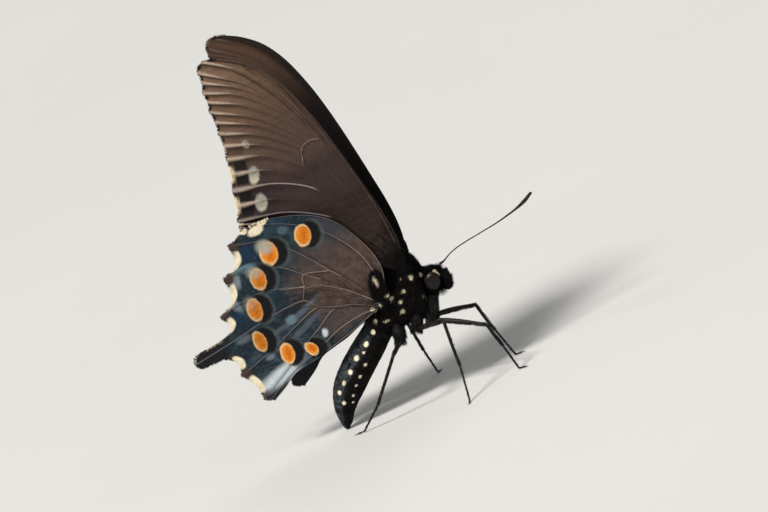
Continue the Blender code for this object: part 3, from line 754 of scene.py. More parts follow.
def forewing_inner():
    """Paints the forewing's inner face: black, brown towards the tip, with small pale marks below. The black
    low down is partly a painted shadow cast by the other forewing, and the brown towards the tip is where
    that painted shadow ends.
    """
    paint = Paint("forewing scales inside", roughness=0.6, specular_ior_level=0.12)
    plan = drawn_on_wing(paint)
    own, raised = wing_scales(paint, plan)
    crest, middle, margin = (paint.value_at(name) for name in ("crest", "middle", "margin"))
    h = paint.split(plan)[1]
    # Painted shadow: black low down, where the other forewing casts its shadow, easing to brown towards the
    # tip
    brown = paint.mix(h.eased(27.0, 45.0), (0.005, 0.004, 0.004), (0.098, 0.054, 0.035))
    paint.colour = paint.mix(paint.value_at("front").eased(0.35, 0.8) * 0.85, brown, BLACK)
    # Painted shadow under each vein and fold near the margin
    paint.cover(paint.value_at("behind") * margin.eased(9.0, 1.0) * 0.6, BLACK)
    lines = near_lines(middle, margin, 5.0) + near_lines(1 - middle, margin, 5.0)
    paint.cover(lines.clamped() * margin.eased(4.0, 1.5) * 0.6, (0.16, 0.105, 0.08))
    spots = middle.eased(0.6, 0.85) * margin.eased(3.0, 3.4) * margin.eased(4.9, 4.4) * h.eased(34.0, 28.0)
    paint.cover(spots * 0.8, (0.50, 0.42, 0.28))
    cream = margin.eased(0.7, 0.4) * middle.eased(0.5, 0.8) * h.eased(34.0, 28.0)
    paint.cover(cream, FRINGE_CREAM)
    paint.cover(crest.eased(0.4, 1.0) * h.eased(20.0, 40.0) * 0.5, (0.060, 0.040, 0.032))
    paint.feed(Base_Color=paint.speckled(own, 0.85, 1.14), Normal=paint.bump(raised, *SCALE_BUMP))
    return paint.material


def hindwing_ground(paint, plan, blue):
    """Lays the hindwing's ground, steel blue and brown at the base. Gives 1 on the brown and 0 off it."""
    far = wobbled(paint, plan, 2.2, 0.35)
    clouds = paint.noise(plan, 0.5, 3.0, 0.6)
    streaks = paint.noise(paint.stretched(plan, 0.35, 2.2), 1.2, 3.0)
    outer = paint.mix(clouds.eased(0.42, 0.75) * 0.55, blue, (0.045, 0.085, 0.100))
    below = oval(paint, far, (-16.0, -1.5), (8.5, 5.0), 20, 0.5)
    outer = paint.mix(below * streaks.eased(0.45, 0.75) * 0.6, outer, (0.110, 0.125, 0.150))
    brown = paint.mix(clouds.eased(0.3, 0.75), (0.060, 0.038, 0.031), (0.125, 0.082, 0.064))
    base = oval(paint, far, (-4.2, 7.6), (8.4, 7.0), 20, 0.38)
    paint.colour = paint.mix(base, outer, brown)
    band = oval(paint, far, (-2.2, 15.6), (9.0, 3.2), 38, 0.45) * (1 - base * 0.4)
    paint.cover(band * 0.75, (0.050, 0.045, 0.056))
    behind_root = oval(paint, far, (-5.5, -0.2), (5.5, 1.8), 14, 0.5)
    paint.cover(behind_root * 0.7, (0.100, 0.070, 0.064))
    return base


def orange_spot(paint, plan, spot, orange):
    """Paints one spot of the hindwing: an orange heart in a tan rim, by a black patch and a grey arc.

    The patch and the arc show on the spot's inner side. White dust veils the top of some spots.
    """
    (x, h), (a, b), turn, white, bright = spot
    arc = oval(paint, plan, (x + 1.35, h - 0.3), (a + 0.85, b + 0.75), turn, 0.08)
    paint.cover(arc * 0.55, (0.085, 0.105, 0.105))
    dark = oval(paint, plan, (x + 0.95, h - 0.15), (a + 0.7, b + 0.5), turn, 0.14)
    paint.cover(dark, (0.004, 0.004, 0.005))
    rim = oval(paint, plan, (x, h), (a, b), turn, 0.10)
    paint.cover(rim, between((0.42, 0.30, 0.17), (0.92, 0.62, 0.33), bright))
    heart = oval(paint, plan, (x + 0.12, h - 0.02), (a - 0.16, b - 0.34), turn, 0.2)
    streak = oval(paint, plan, (x + 0.2, h), (a * 0.35, b * 0.7), turn, 0.8)
    deep = paint.mix(streak * 0.65, orange, (0.50, 0.11, 0.006))
    paint.cover(heart, paint.mix(bright, (0.36, 0.13, 0.012), deep))
    if white:
        veil = oval(paint, plan, (x - 0.25, h + 1.35), (a - 0.2, b - 1.0), turn - 20, 0.5)
        paint.cover(veil * white, (0.46, 0.43, 0.34))


def hindwing_edge(paint, plan, cream):
    """Paints the hindwing's edge and tail. Gives 1 on the cream notches and 0 off them.

    The notches lie between the veins' ends, which are brown. The tail is black, with a grey vein and
    a pale upper edge, and the edge towards the body is grey.
    """
    names = ("crest", "middle", "margin", "rear")
    crest, middle, margin, rear = (paint.value_at(name) for name in names)
    x, h = paint.split(plan)
    outside = x.eased(-15.0, -16.0)
    on_tail = x.eased(-26.6, -27.6) * h.eased(-0.6, 0.2)
    above_rear = (h - x * NOTCH_SLOPE).eased(*NOTCH_REAR)
    notch = margin.eased(1.2, 0.8) * middle.eased(0.28, 0.5) * outside * (1 - on_tail) * above_rear
    notch = notch * h.eased(*NOTCH_FRONT)
    paint.cover(notch, cream)
    tip = margin.eased(2.0, 0.9) * middle.eased(0.42, 0.2) * outside * (1 - on_tail)
    paint.cover(tip * 0.8, (0.075, 0.040, 0.027))
    paint.cover(on_tail * 0.92, (0.008, 0.008, 0.009))
    paint.cover(on_tail * crest.eased(0.2, 1.0) * 0.8, (0.17, 0.17, 0.19))
    edge = on_tail * margin.eased(0.5, 0.2) * h.eased(1.8, 2.6)
    paint.cover(edge, (0.50, 0.40, 0.33))
    paint.cover(rear.eased(0.8, 0.95) * x.eased(-16.5, -18.5), (0.46, 0.44, 0.42))
    return notch


def hindwing_outer():
    """Paints the hindwing's outer face: a brown base, steel blue beyond it with painted shade and painted
    highlights, and the seven orange spots.
    """
    looks = bpy.context.scene.swallowtail
    cream = tuple(looks.cream)
    paint = Paint("hindwing scales outside", specular_ior_level=0.2)
    plan = drawn_on_wing(paint)
    loose = wobbled(paint, plan, 0.4, 1.1)
    own, raised = wing_scales(paint, plan)
    base = hindwing_ground(paint, plan, tuple(looks.hindwing_blue))
    # Painted shade, and the wing's own black at the root
    for centre, radii, turn, strength in HINDWING_BLACK_AND_SHADE:
        shade = oval(paint, loose, centre, radii, turn, 0.35) * strength
        paint.cover(shade, (0.006, 0.007, 0.009))
    dust = (own < 0.12) * (1 - base)
    paint.cover(dust * 0.14, TEAL_DUST)
    # Painted highlights and sheen, and the wing's own teal and dark blue patches
    for centre, radii, turn, strength, tone in HINDWING_SHEEN_AND_PATCHES:
        sheen_and_patch = oval(paint, loose, centre, radii, turn, 0.5) * strength
        paint.cover(sheen_and_patch, tone)
    crest, middle, reach = (paint.value_at(name) for name in ("crest", "middle", "reach"))
    vein_dark = middle.eased(0.30, 0.06) * (1 - crest) * 0.5
    paint.cover(vein_dark, (0.010, 0.010, 0.012))
    pale_vein = paint.mix(reach.eased(0.35, 0.55), (0.28, 0.19, 0.15), (0.13, 0.135, 0.15))
    paint.cover(crest.eased(0.15, 0.9) * 0.85, pale_vein)
    for centre, radii, turn in BASE_MARKS:
        paint.cover(oval(paint, plan, centre, radii, turn, 0.2), cream)
    for spot in HINDWING_SPOTS:
        orange_spot(paint, loose, spot, tuple(looks.spot_orange))
    for centre, radii, turn in HINDWING_CREAM:
        paint.cover(oval(paint, loose, centre, radii, turn, 0.25), cream)
    notch = hindwing_edge(paint, plan, cream)
    shine = (1 - base) * (1 - notch) * 0.15
    paint.feed(Base_Color=paint.speckled(own, 0.86, 1.13), Metallic=shine, Roughness=0.6 - shine * 0.4,
               Normal=paint.bump(raised, *SCALE_BUMP))
    return paint.material


def hindwing_inner():
    """Paints the hindwing's inner face: blue-black, black at the base, with pale spots by the margin."""
    paint = Paint("hindwing scales inside", roughness=0.5, metallic=0.2, specular_ior_level=0.2)
    plan = drawn_on_wing(paint)
    own, raised = wing_scales(paint, plan)
    names = ("crest", "middle", "margin", "reach")
    crest, middle, margin, reach = (paint.value_at(name) for name in names)
    x, h = paint.split(plan)
    front = (h + x * 0.4).eased(-11.5, -9.5)
    gloss = reach.eased(0.35, 0.75) * (front * 0.9 + 0.1)
    paint.colour = paint.mix(gloss, (0.006, 0.005, 0.005), (0.012, 0.040, 0.055))
    spots = middle.eased(0.45, 0.7) * margin.eased(2.2, 2.6) * margin.eased(4.3, 3.8) * front
    paint.cover(spots * 0.85, (0.55, 0.50, 0.38))
    cream = margin.eased(0.9, 0.5) * middle.eased(0.4, 0.7) * front
    paint.cover(cream, FRINGE_CREAM)
    paint.cover(crest.eased(0.4, 1.0) * 0.6, BLACK)
    paint.feed(Base_Color=paint.speckled(own, 0.85, 1.15), Normal=paint.bump(raised, *SCALE_BUMP))
    return paint.material


def coat_finish(name, dark, tip):
    """Paints tufts: dark at the root, a little paler at the tip, and cream where they grow on a mark."""
    looks = bpy.context.scene.swallowtail
    paint = Paint(name, roughness=0.6, specular_ior_level=0.08)
    along, own, cream, sheen = (paint.value_at(key) for key in ("along", "own", "cream", "sheen"))
    paint.colour = paint.mix(along * own.eased(0.3, 1.0), dark, tip)
    paint.cover(sheen * own.eased(0.35, 1.0), (0.105, 0.135, 0.165))
    pale = paint.mix(own, (0.74, 0.63, 0.44), tuple(looks.cream))
    paint.cover(cream, pale)
    paint.feed(Base_Color=paint.colour)
    return paint.material


def skin_finish():
    """Paints the body's skin: black with a fine grain, and the same cream marks as the coat."""
    looks = bpy.context.scene.swallowtail
    paint = Paint("body skin", roughness=0.6, specular_ior_level=0.1)
    where = paint.place()
    grain = paint.noise(where, 9.0, 3.0, 0.6)
    paint.colour = paint.mix(grain, (0.003, 0.0025, 0.0025), (0.007, 0.006, 0.006))
    paint.cover(paint.value_at("sheen") * grain.eased(0.35, 0.65), (0.12, 0.13, 0.14))
    paint.cover(paint.value_at("cream"), tuple(looks.cream))
    paint.feed(Base_Color=paint.colour, Normal=paint.bump(grain, 0.04, 0.6))
    return paint.material


def horn_finish(name, dark, warm):
    """Paints legs, feelers and tongue: dark horn with a fine grain, warmer in places."""
    paint = Paint(name, roughness=0.45, specular_ior_level=0.22)
    where = paint.place()
    patches = paint.noise(where, 0.9, 2.0)
    grain = paint.noise(where, 14.0, 2.0)
    paint.colour = paint.mix(patches.eased(0.45, 0.7), dark, warm)
    paint.feed(Base_Color=paint.speckled(grain, 0.7, 1.3), Normal=paint.bump(grain, 0.02, 0.5))
    return paint.material


def eye_finish():
    """Paints the eyes: dark and glossy over a fine net of facets, with a faint purple-brown bloom."""
    gloss = {"coat_weight": 0.45, "coat_roughness": 0.36}
    paint = Paint("eye facets", roughness=0.45, specular_ior_level=0.06, **gloss)
    where = paint.place()
    facets = paint.node("ShaderNodeTexVoronoi", None, {"Vector": where, "Scale": 16.0}, "Distance")
    bloom = paint.noise(where, 0.8, 1.0)
    paint.colour = paint.mix(bloom.eased(0.4, 0.65), (0.004, 0.0025, 0.002), (0.012, 0.006, 0.007))
    paint.feed(Base_Color=paint.colour, Normal=paint.bump(1 - facets, 0.015, 0.35))
    return paint.material


# ---- body ---------------------------------------------------------------------------------------

TRUNK = {  # place along the body: x, z, reach up, reach down, half width
    "tip": (-16.6, 0.1, 0.45, 0.45, 0.4),
    "end segment": (-16.25, 1.4, 1.2, 1.15, 1.1),
    "segment 7": (-15.35, 3.9, 2.1, 1.95, 1.95),
    "segment 6": (-13.6, 6.5, 2.75, 2.65, 2.6),
    "segment 4": (-10.8, 9.2, 2.9, 2.85, 2.8),
    "segment 2": (-7.6, 11.8, 2.8, 2.8, 2.75),
    "waist": (-4.9, 14.2, 2.5, 2.9, 2.5),
    "rear of thorax": (-2.7, 16.3, 3.2, 4.6, 3.0),
    "hind hips": (-0.4, 17.8, 4.5, 5.8, 3.4),
    "wing bases": (1.9, 18.6, 5.8, 6.0, 3.5),
    "shoulders": (3.7, 19.0, 6.5, 5.1, 3.2),
    "collar": (4.8, 19.1, 5.6, 3.7, 2.6),
    "neck": (5.55, 19.05, 2.6, 2.3, 1.6),
    "back of head": (6.15, 18.95, 2.15, 2.35, 1.55),
    "middle of head": (7.2, 18.7, 2.2, 2.5, 1.75),
    "brow": (8.2, 18.45, 1.9, 2.1, 1.45),
    "face": (8.8, 18.3, 1.1, 1.3, 0.9),
}
DORSAL_POWER = 1.6  # below 2 the back is ridged like a roof
WAIST, NECK, FACE = 6.4, 12.0, 16.0  # places along TRUNK, counted in its lines from the tip
ABDOMEN_INSET, THORAX_INSET, HEAD_INSET = 0.14, 0.45, 0.28  # how deep the skin lies under the coat
SEGMENT_SEAMS = (1.0, 1.75, 2.5, 3.3, 4.1, 4.9, 5.65, 6.35)
CREAM_DASHES = (  # from (along, turn°) to (along, turn°) on the right side, and the half width in mm
    ((7.95, 112), (8.38, 106), 0.42),
    ((14.34, 138), (14.34, 142), 0.34),
    ((14.7, 150), (14.85, 168), 0.22),
    ((6.6, 186), (6.85, 198), 0.20),
    ((10.3, 214), (10.6, 226), 0.24),
)
CREAM_DOTS = (  # (along, turn°) on the right side, and the radius in mm
    ((9.46, 157), 0.24), ((10.33, 165), 0.46), ((11.77, 156), 0.40), ((9.09, 177), 0.40),
    ((8.41, 188), 0.40), ((7.91, 205), 0.44), ((8.14, 171), 0.44), ((7.50, 156), 0.46),
    ((6.96, 140), 0.42), ((6.44, 158), 0.44), ((5.87, 166), 0.46), ((5.20, 163), 0.50),
    ((4.46, 156), 0.50), ((3.84, 160), 0.46), ((3.29, 154), 0.44), ((2.80, 146), 0.44),
    ((2.34, 174), 0.40), ((4.83, 170), 0.26), ((4.42, 197), 0.30), ((3.85, 200), 0.30),
    ((3.41, 201), 0.28), ((2.86, 206), 0.28), ((2.44, 216), 0.26),
)
CREAM_MARKS = (*CREAM_DASHES, *((place, place, radius) for place, radius in CREAM_DOTS))
COATS = {  # from and to where along the trunk, number of tufts, width, lift, curl, seed and lean
    "thorax": (WAIST - 0.3, NECK + 0.2, 12000, 0.05, 0.5, 0.22, 3, 0.45),
    "abdomen": (0.25, WAIST + 0.2, 11500, 0.07, 0.2, 0.1, 5, 0.0),
    "head": (NECK - 0.1, FACE - 0.05, 6500, 0.04, 0.8, 0.12, 7, 0.25),
}


def skin_inset(along):
    """Gives the skin's depth under the coat, easing from the abdomen to the thorax and to the head."""
    to_thorax, to_head = eased(along, WAIST - 0.6, WAIST + 0.8), eased(along, NECK - 0.5, NECK + 0.5)
    inset = ABDOMEN_INSET + (THORAX_INSET - ABDOMEN_INSET) * to_thorax
    return inset + (HEAD_INSET - inset) * to_head


def trunk(along, turn, inset):
    """Gives places on the body.

    The axis and the reaches run smoothly through TRUNK. Square to the axis, the lower half of the
    outline is an ellipse, and the upper half is |width|^p + |height|^p = 1 with p = DORSAL_POWER.
    """
    line, slope = spline(np.array(list(TRUNK.values())), along)
    length = np.hypot(slope[..., 0], slope[..., 1])
    forward_x, forward_z = slope[..., 0] / length, slope[..., 1] / length
    side, rise = np.cos(turn), np.sin(turn)
    power = np.where(rise > 0, DORSAL_POWER, 2.0)
    reach = (np.abs(side) ** power + np.abs(rise) ** power) ** (-1 / power)
    up = np.where(rise > 0, line[..., 2] - inset, line[..., 3] - inset) * rise * reach
    width = (line[..., 4] - inset) * side * reach
    points = np.stack((line[..., 0] - forward_z * up, width, line[..., 1] + forward_x * up), axis=-1)
    points[..., 2] = np.maximum(points[..., 2], GROUND_GAP)
    return points


def skin_point(along, turn):
    """Gives places on the skin: the trunk, inset, with the abdomen's rings and the thorax's plates."""
    seam = np.min(np.abs(along[..., None] - np.array(SEGMENT_SEAMS)), axis=-1)
    groove = 0.07 * np.exp(-((seam / 0.07) ** 2)) * (along > 0.6)
    plate = np.exp(-(((along - 8.9 - 0.5 * np.sin(turn)) / 0.12) ** 2)) * 0.18
    plate = plate + np.exp(-(((along - 11.5) / 0.10) ** 2)) * 0.15
    return trunk(along, turn, skin_inset(along) + groove + plate)


def skin_frame(along, turn):
    """Gives places on the skin with their unit directions rearwards and outwards."""
    step = 0.02
    inset = skin_inset(along)
    here = trunk(along, turn, inset)
    back = unit(trunk(along - step, turn, inset) - trunk(along + step, turn, inset))
    around = unit(trunk(along, turn + step, inset) - trunk(along, turn - step, inset))
    out = unit(np.cross(around, back))
    from_within = here - trunk(along, turn, 1.0)
    return here, back, out * np.sign(np.einsum("...i,...i->...", out, from_within))[..., None]


def cream_marks(points):
    """Gives 1 on a cream mark and 0 off it, from the distance to the line that each mark follows."""
    found = np.zeros(len(points))
    for start, end, half_width in CREAM_MARKS:
        for _, sign in SIDES:
            places = np.array((start, end), float)
            turn = np.radians(places[:, 1] if sign == RIGHT else 180.0 - places[:, 1])
            a, b = trunk(places[:, 0], turn, skin_inset(places[:, 0]))
            share = np.clip((points - a) @ (b - a) / max((b - a) @ (b - a), 1e-9), 0, 1)
            distance = np.linalg.norm(points - a - share[:, None] * (b - a), axis=1)
            found = np.maximum(found, 1 - eased(distance, half_width * 0.85, half_width * 1.05))
    return found


def blue_sheen(along, turn):
    """Gives how strongly a place gleams grey-blue: the sides of the back, and the collar's edges."""
    rise = np.sin(turn)
    abdomen = eased(rise, 0.0, 0.45) * (1 - eased(along, WAIST - 1.2, WAIST + 0.4))
    shoulder = 0.35 * eased(rise, 0.2, 0.5) * (1 - eased(rise, 0.75, 0.95)) * eased(along, 9.5, 10.0)
    return abdomen * 0.85 + shoulder * (1 - eased(along, 10.6, 11.4))


def body_skin():
    """Builds one closed skin over head, thorax and abdomen."""
    rows, sides = 420, 96
    along, turn = np.meshgrid(np.linspace(0.02, FACE, rows), np.arange(sides) * TAU / sides, indexing="ij")
    rings = skin_point(along, turn)
    ends = rings[0].mean(axis=0) + (-0.05, 0, -0.02), rings[-1].mean(axis=0) + (0.25, 0, 0)
    ends[0][2] = max(ends[0][2], GROUND_GAP)
    values = {
        "cream": cream_marks(rings.reshape(-1, 3)).reshape(rows, sides),
        "sheen": blue_sheen(along, turn),
    }
    return closed_rings(rings, *ends, **values)


TUFT_STEPS = (0.0, 0.4, 0.75)  # where a blade has its three rings, from its root to its tip
TUFT_RIDGE = 0.45  # how thick a blade is, as a share of its half width


def tufts(roots, lie, out, length, width, lift, curl, seed, **values):
    """Grows one thin blade from each root.

    With t from 0 at the root to 1 at the tip, the blade's middle is
    root + length · (t cos(lift) · lie + (t sin(lift) − curl t²) · out). Its section is a flat
    triangle whose half width is width · (1 − t^2.2), so that it closes in a point.
    """
    rng = np.random.default_rng(seed)
    count = len(roots)
    length = length * rng.uniform(0.75, 1.25, count)
    width = width * rng.uniform(0.8, 1.2, count)
    lift = lift * rng.uniform(0.6, 1.4, count)
    side = unit(np.cross(lie, out))
    yaw = rng.normal(0, 0.16, count)[:, None]
    lie = unit(lie + yaw * side)
    side = unit(np.cross(lie, out))
    t = np.array(TUFT_STEPS)[None, :, None]
    ahead = t * np.cos(lift)[:, None, None]
    above = t * np.sin(lift)[:, None, None] - curl * t**2
    middle = roots[:, None] + length[:, None, None] * (ahead * lie[:, None] + above * out[:, None])
    half = (width[:, None] * (1 - t[..., 0] ** 2.2))[..., None, None]
    corner = np.array(((-1.0, 0.0), (1.0, 0.0), (0.0, TUFT_RIDGE)))
    ring = corner[:, :1] * side[:, None, None] + corner[:, 1:] * out[:, None, None]
    rings = middle[:, :, None] + half * ring
    tips = roots + length[:, None] * (np.cos(lift)[:, None] * lie + (np.sin(lift)[:, None] - curl) * out)
    points = np.concatenate((rings.reshape(count, 9, 3), tips[:, None]), axis=1).reshape(-1, 3)
    quads = grid_faces(3, 3, True)
    tris = np.array(((2, 1, 0), (6, 7, 9), (7, 8, 9), (8, 6, 9)))
    starts = (np.arange(count) * 10)[:, None, None]
    faces = [(quads + starts).reshape(-1, 4), (tris + starts).reshape(-1, 3)]
    values["own"] = rng.uniform(0, 1, count)
    spread = {name: np.repeat(value, 10) for name, value in values.items()}
    along = np.tile([*np.repeat(TUFT_STEPS, 3), 1.0], count)
    return Shape(points, faces, along=along, **spread).outwards()


def patch(root_map):
    """Lays each tuft on the unwrap as a patch about 0.003 across at its root's place."""
    corners = [(ring * 0.001, side * 0.0015) for ring in range(3) for side in range(3)] + [(0.003, 0.0015)]
    return (root_map[:, None] + np.array(corners)).reshape(-1, 2)


def scattered(low, high, count, seed):
    """Scatters places over the trunk between two places along it, evenly over its surface.

    Six times too many are drawn. Each is kept with the chance of the area that a step along and
    around covers there, over the area that only 3 in 100 of them pass.
    """
    rng = np.random.default_rng(seed)
    along = rng.uniform(low, high, count * 6)
    turn = rng.uniform(0, TAU, count * 6)
    step = 0.01
    inset = skin_inset(along)
    ahead = np.linalg.norm(trunk(along + step, turn, inset) - trunk(along - step, turn, inset), axis=1)
    around = np.linalg.norm(trunk(along, turn + step, inset) - trunk(along, turn - step, inset), axis=1)
    chance = ahead * around
    keep = rng.uniform(0, 1, len(along)) < chance / np.quantile(chance, 0.97)
    return along[keep][:count], turn[keep][:count]


def trunk_coat(low, high, count, length, width, lift, curl, seed, lean):
    """Covers a stretch of the trunk with tufts that lie towards the rear, leaning down by lean.

    Their length is a number or a function of the place along and around. They are shorter where
    they touch a cream mark, which keeps its outline clean.
    """
    along, turn = scattered(low, high, count, seed)
    roots, back, out = skin_frame(along, turn)
    down = np.array((0.0, 0.0, -1.0)) - out * (out @ (0.0, 0.0, -1.0))[:, None]
    lie = unit(back + lean * down)
    size = length(along, turn) if callable(length) else np.full(len(along), length)
    cream = cream_marks(roots + lie * (0.3 * size)[:, None])
    over = cream_marks(roots + lie * (0.75 * size)[:, None])
    size = size * (1 - 0.55 * np.maximum(cream, over) * np.minimum(1, size))
    values = {"cream": cream, "sheen": blue_sheen(along, turn)}
    shape = tufts(roots - out * 0.05, lie, out, size, width, lift, curl, seed + 1, **values)
    shape.values["OFBake"] = patch(np.stack((0.02 + 0.95 * along / FACE, 0.02 + 0.95 * turn / TAU), axis=-1))
    shape.points[:, 2] = np.maximum(shape.points[:, 2], GROUND_GAP)
    return shape


def head_length(along, turn):
    """Gives the head's hair: short, but long on the face, the crown and the chin."""
    crown, chin = eased(np.sin(turn), 0.5, 0.95), eased(np.sin(turn), -0.35, -0.85)
    return 0.4 + 0.6 * eased(along, 14.6, 15.6) + 0.25 * crown + 1.1 * chin


# ---- head's parts and legs ----------------------------------------------------------------------

PALP = ((8.55, 0.75, 16.1), (9.0, 0.8, 16.5), (9.3, 0.8, 17.65), (9.2, 0.8, 18.85))
PALP_RADII = (0.22, 0.34, 0.36, 0.18)
COIL_PLACE, COIL_RADIUS = (6.3, 0.0, 15.75), 0.5
ANTENNAE = {
    "right": ((8.95, -0.75, 20.35), (9.9, -0.85, 20.65), (11.55, -1.15, 21.6), (13.9, -1.7, 22.4),
              (17.9, -2.9, 23.3), (21.55, -4.2, 24.15), (25.15, -5.5, 25.25), (27.45, -6.3, 26.2),
              (29.2, -7.0, 27.3)),
    "left": ((8.95, 0.75, 20.3), (9.75, 1.1, 20.4), (11.1, 1.7, 21.0), (13.1, 3.0, 21.4),
             (16.5, 5.2, 21.55), (19.5, 7.4, 21.65), (22.5, 9.4, 22.05), (24.45, 10.6, 22.6),
             (25.95, 11.6, 23.3)),
}
ANTENNA_RADII = (0.15, 0.11, 0.10, 0.10, 0.10, 0.11, 0.15, 0.27, 0.2)
ANTENNA_SEGMENTS = 34
LEGS = {  # hip, end of the coxa, knee, ankle, heel, toe
    "front_right": ((5.5, -1.3, 15.4), (4.2, -1.5, 12.3), (12.9, -4.5, 8.7),
                    (14.1, -5.5, 4.6), (15.2, -6.4, 0.24), (16.3, -6.9, 0.2)),
    "front_left": ((5.5, 1.3, 15.4), (4.2, 1.5, 12.3), (11.0, 4.5, 10.6),
                   (12.3, 4.3, 5.4), (13.8, 4.1, 0.24), (14.9, 4.3, 0.2)),
    "middle_right": ((2.4, -1.3, 14.6), (1.3, -2.3, 11.9), (7.1, -8.2, 12.9),
                     (7.1, -11.4, 5.4), (6.9, -15.3, 0.24), (6.9, -16.6, 0.2)),
    "middle_left": ((2.4, 1.3, 14.6), (1.0, 2.3, 11.9), (-1.8, 9.0, 12.0),
                    (-1.5, 11.6, 5.2), (-1.1, 13.6, 0.24), (-0.8, 14.8, 0.2)),
    "hind_right": ((-1.6, -1.3, 13.9), (-2.1, -2.2, 11.0), (-2.8, -8.5, 10.9),
                   (-8.9, -7.8, 3.7), (-12.9, -7.1, 0.24), (-14.1, -7.0, 0.2)),
    "hind_left": ((-1.6, 1.3, 13.9), (-2.4, 2.2, 11.0), (-5.3, 7.6, 11.8),
                  (-12.4, 7.4, 4.3), (-16.6, 6.9, 0.24), (-17.8, 6.8, 0.2)),
}
TARSUS_RADIUS = 0.19
CLAW_REACH, CLAW_SPREAD, CLAW_RADII = 0.42, 0.22, (0.07, 0.025)
SPUR_SHARE, SPUR_SPREAD, SPUR_RADII = 0.22, 0.34, (0.06, 0.02)  # the share is of the foot to its heel
LEG_STRETCHES = (  # the radii along coxa, femur and tibia, and how far each is bowed
    ((0.75, 0.85, 0.75, 0.45), 0.12),
    ((0.34, 0.45, 0.42, 0.33, 0.30), 0.18),
    ((0.30, 0.27, 0.26, 0.25, 0.28), -0.12),
)
FOOT_CUTS = (0, 26, 36, 44, 51, 61)  # the foot's five segments, in 61 points from ankle to toe
LEG_HAIRS = (  # on coxa, femur, tibia and foot: depth of the roots, number, length and lift
    (0.7, 1500, 0.9, 0.5),
    (0.34, 460, 0.42, 0.22),
    (0.22, 260, 0.36, 0.45),
    (0.15, 150, 0.26, 0.5),
)
FRONT_SHAG = 1.1  # how long the hair of the front hips is


def eyeball(sign):
    """Builds one eye: an ellipsoid leaning forwards by EYE_LEAN.

    With rise r and turn t, its point is place + leaned (a cos r cos t, b cos r sin t, c sin r).
    """
    rise, turn = np.meshgrid(np.linspace(-1.5, 1.5, 40), np.arange(64) * TAU / 64, indexing="ij")
    unit_ball = np.stack((np.cos(rise) * np.cos(turn), np.cos(rise) * np.sin(turn), np.sin(rise)), axis=-1)
    c, s = math.cos(EYE_LEAN), math.sin(EYE_LEAN)
    lean = np.array(((c, 0, s), (0, 1, 0), (-s, 0, c)))
    ball = (unit_ball * EYE_RADII) @ lean.T + EYE_PLACE
    poles = [np.array((0, 0, end * EYE_RADII[2])) @ lean.T + EYE_PLACE for end in (-1, 1)]
    shape = closed_rings(ball, *poles)
    shape.points = mirrored(shape.points, sign)
    return shape.outwards()


def antenna(points):
    """Builds one antenna: a fine stalk that narrows a little between its segments, and its club."""
    steps = ANTENNA_SEGMENTS * 8
    where = np.linspace(0, len(points) - 1, steps)
    path = spline(points, where)[0]
    radii = np.interp(where, np.arange(len(points)), ANTENNA_RADII)
    ring = np.cos(np.linspace(0, TAU * ANTENNA_SEGMENTS, steps))
    radii = radii * (1 - 0.10 * (ring > 0.75))
    return swept(path, radii, 10, SIDEWAYS)


def palp(sign):
    """Builds one palp: a smooth tube that is thickest in its middle."""
    where = np.linspace(0, len(PALP) - 1, 30)
    path = spline(mirrored(PALP, sign), where)[0]
    return swept(path, np.interp(where, np.arange(len(PALP)), PALP_RADII), 14, SIDEWAYS)


def tongue():
    """Coils the tongue under the head: radius = COIL_RADIUS · (1 − share/2) over nearly two turns."""
    share = np.linspace(0, 1, 120)
    turn = math.radians(60) - share * TAU * 1.8
    radius = COIL_RADIUS * (1 - share / 2)
    path = np.stack((np.cos(turn) * radius, 0 * share, np.sin(turn) * radius), axis=-1) + COIL_PLACE
    ribs = 1 + 0.05 * np.cos(share * TAU * 40)
    return swept(path, 0.11 * ribs * (1 - 0.3 * share), 10, SIDEWAYS)


def tube_between(start, end, radii, across, bend):
    """Runs a tube from start to end, bowed sideways by bend, with radii spread evenly along it."""
    share = np.linspace(0, 1, 18)
    start, end = np.array(start), np.array(end)
    sag = unit(np.cross(end - start, across)) * bend
    path = start + share[:, None] * (end - start) + np.sin(math.pi * share)[:, None] * sag
    return swept(path, np.interp(share, np.linspace(0, 1, len(radii)), radii), 14, across)


def claws_and_spurs(ankle, heel, toe, across):
    """Builds a foot's two claws and its ankle's two spurs, one of each on either side.

    At the share s of its length, a claw is CLAW_REACH · s ahead of its root, CLAW_SPREAD · s to its
    side, and at 0.2 + 0.06 sin(πs) − 0.13 s above the ground.
    """
    forward = unit(toe - heel) * (1, 1, 0)
    share = np.linspace(0, 1, 10)[:, None]
    shapes = []
    for way in (-1, 1):
        claw = toe + forward * (0.1 + CLAW_REACH * share) + across * way * (0.06 + CLAW_SPREAD * share)
        claw[:, 2] = 0.2 + 0.06 * np.sin(math.pi * share[:, 0]) - 0.13 * share[:, 0]
        shapes.append(swept(claw, np.linspace(*CLAW_RADII, len(claw)), 6, (0.0, 0.0, 1.0)))
        tip = ankle + SPUR_SHARE * (heel - ankle) + across * way * SPUR_SPREAD
        spur = np.linspace(ankle, tip, 8)
        shapes.append(swept(spur, np.linspace(*SPUR_RADII, len(spur)), 6, forward + (0.1, 0, 1.0)))
    return shapes


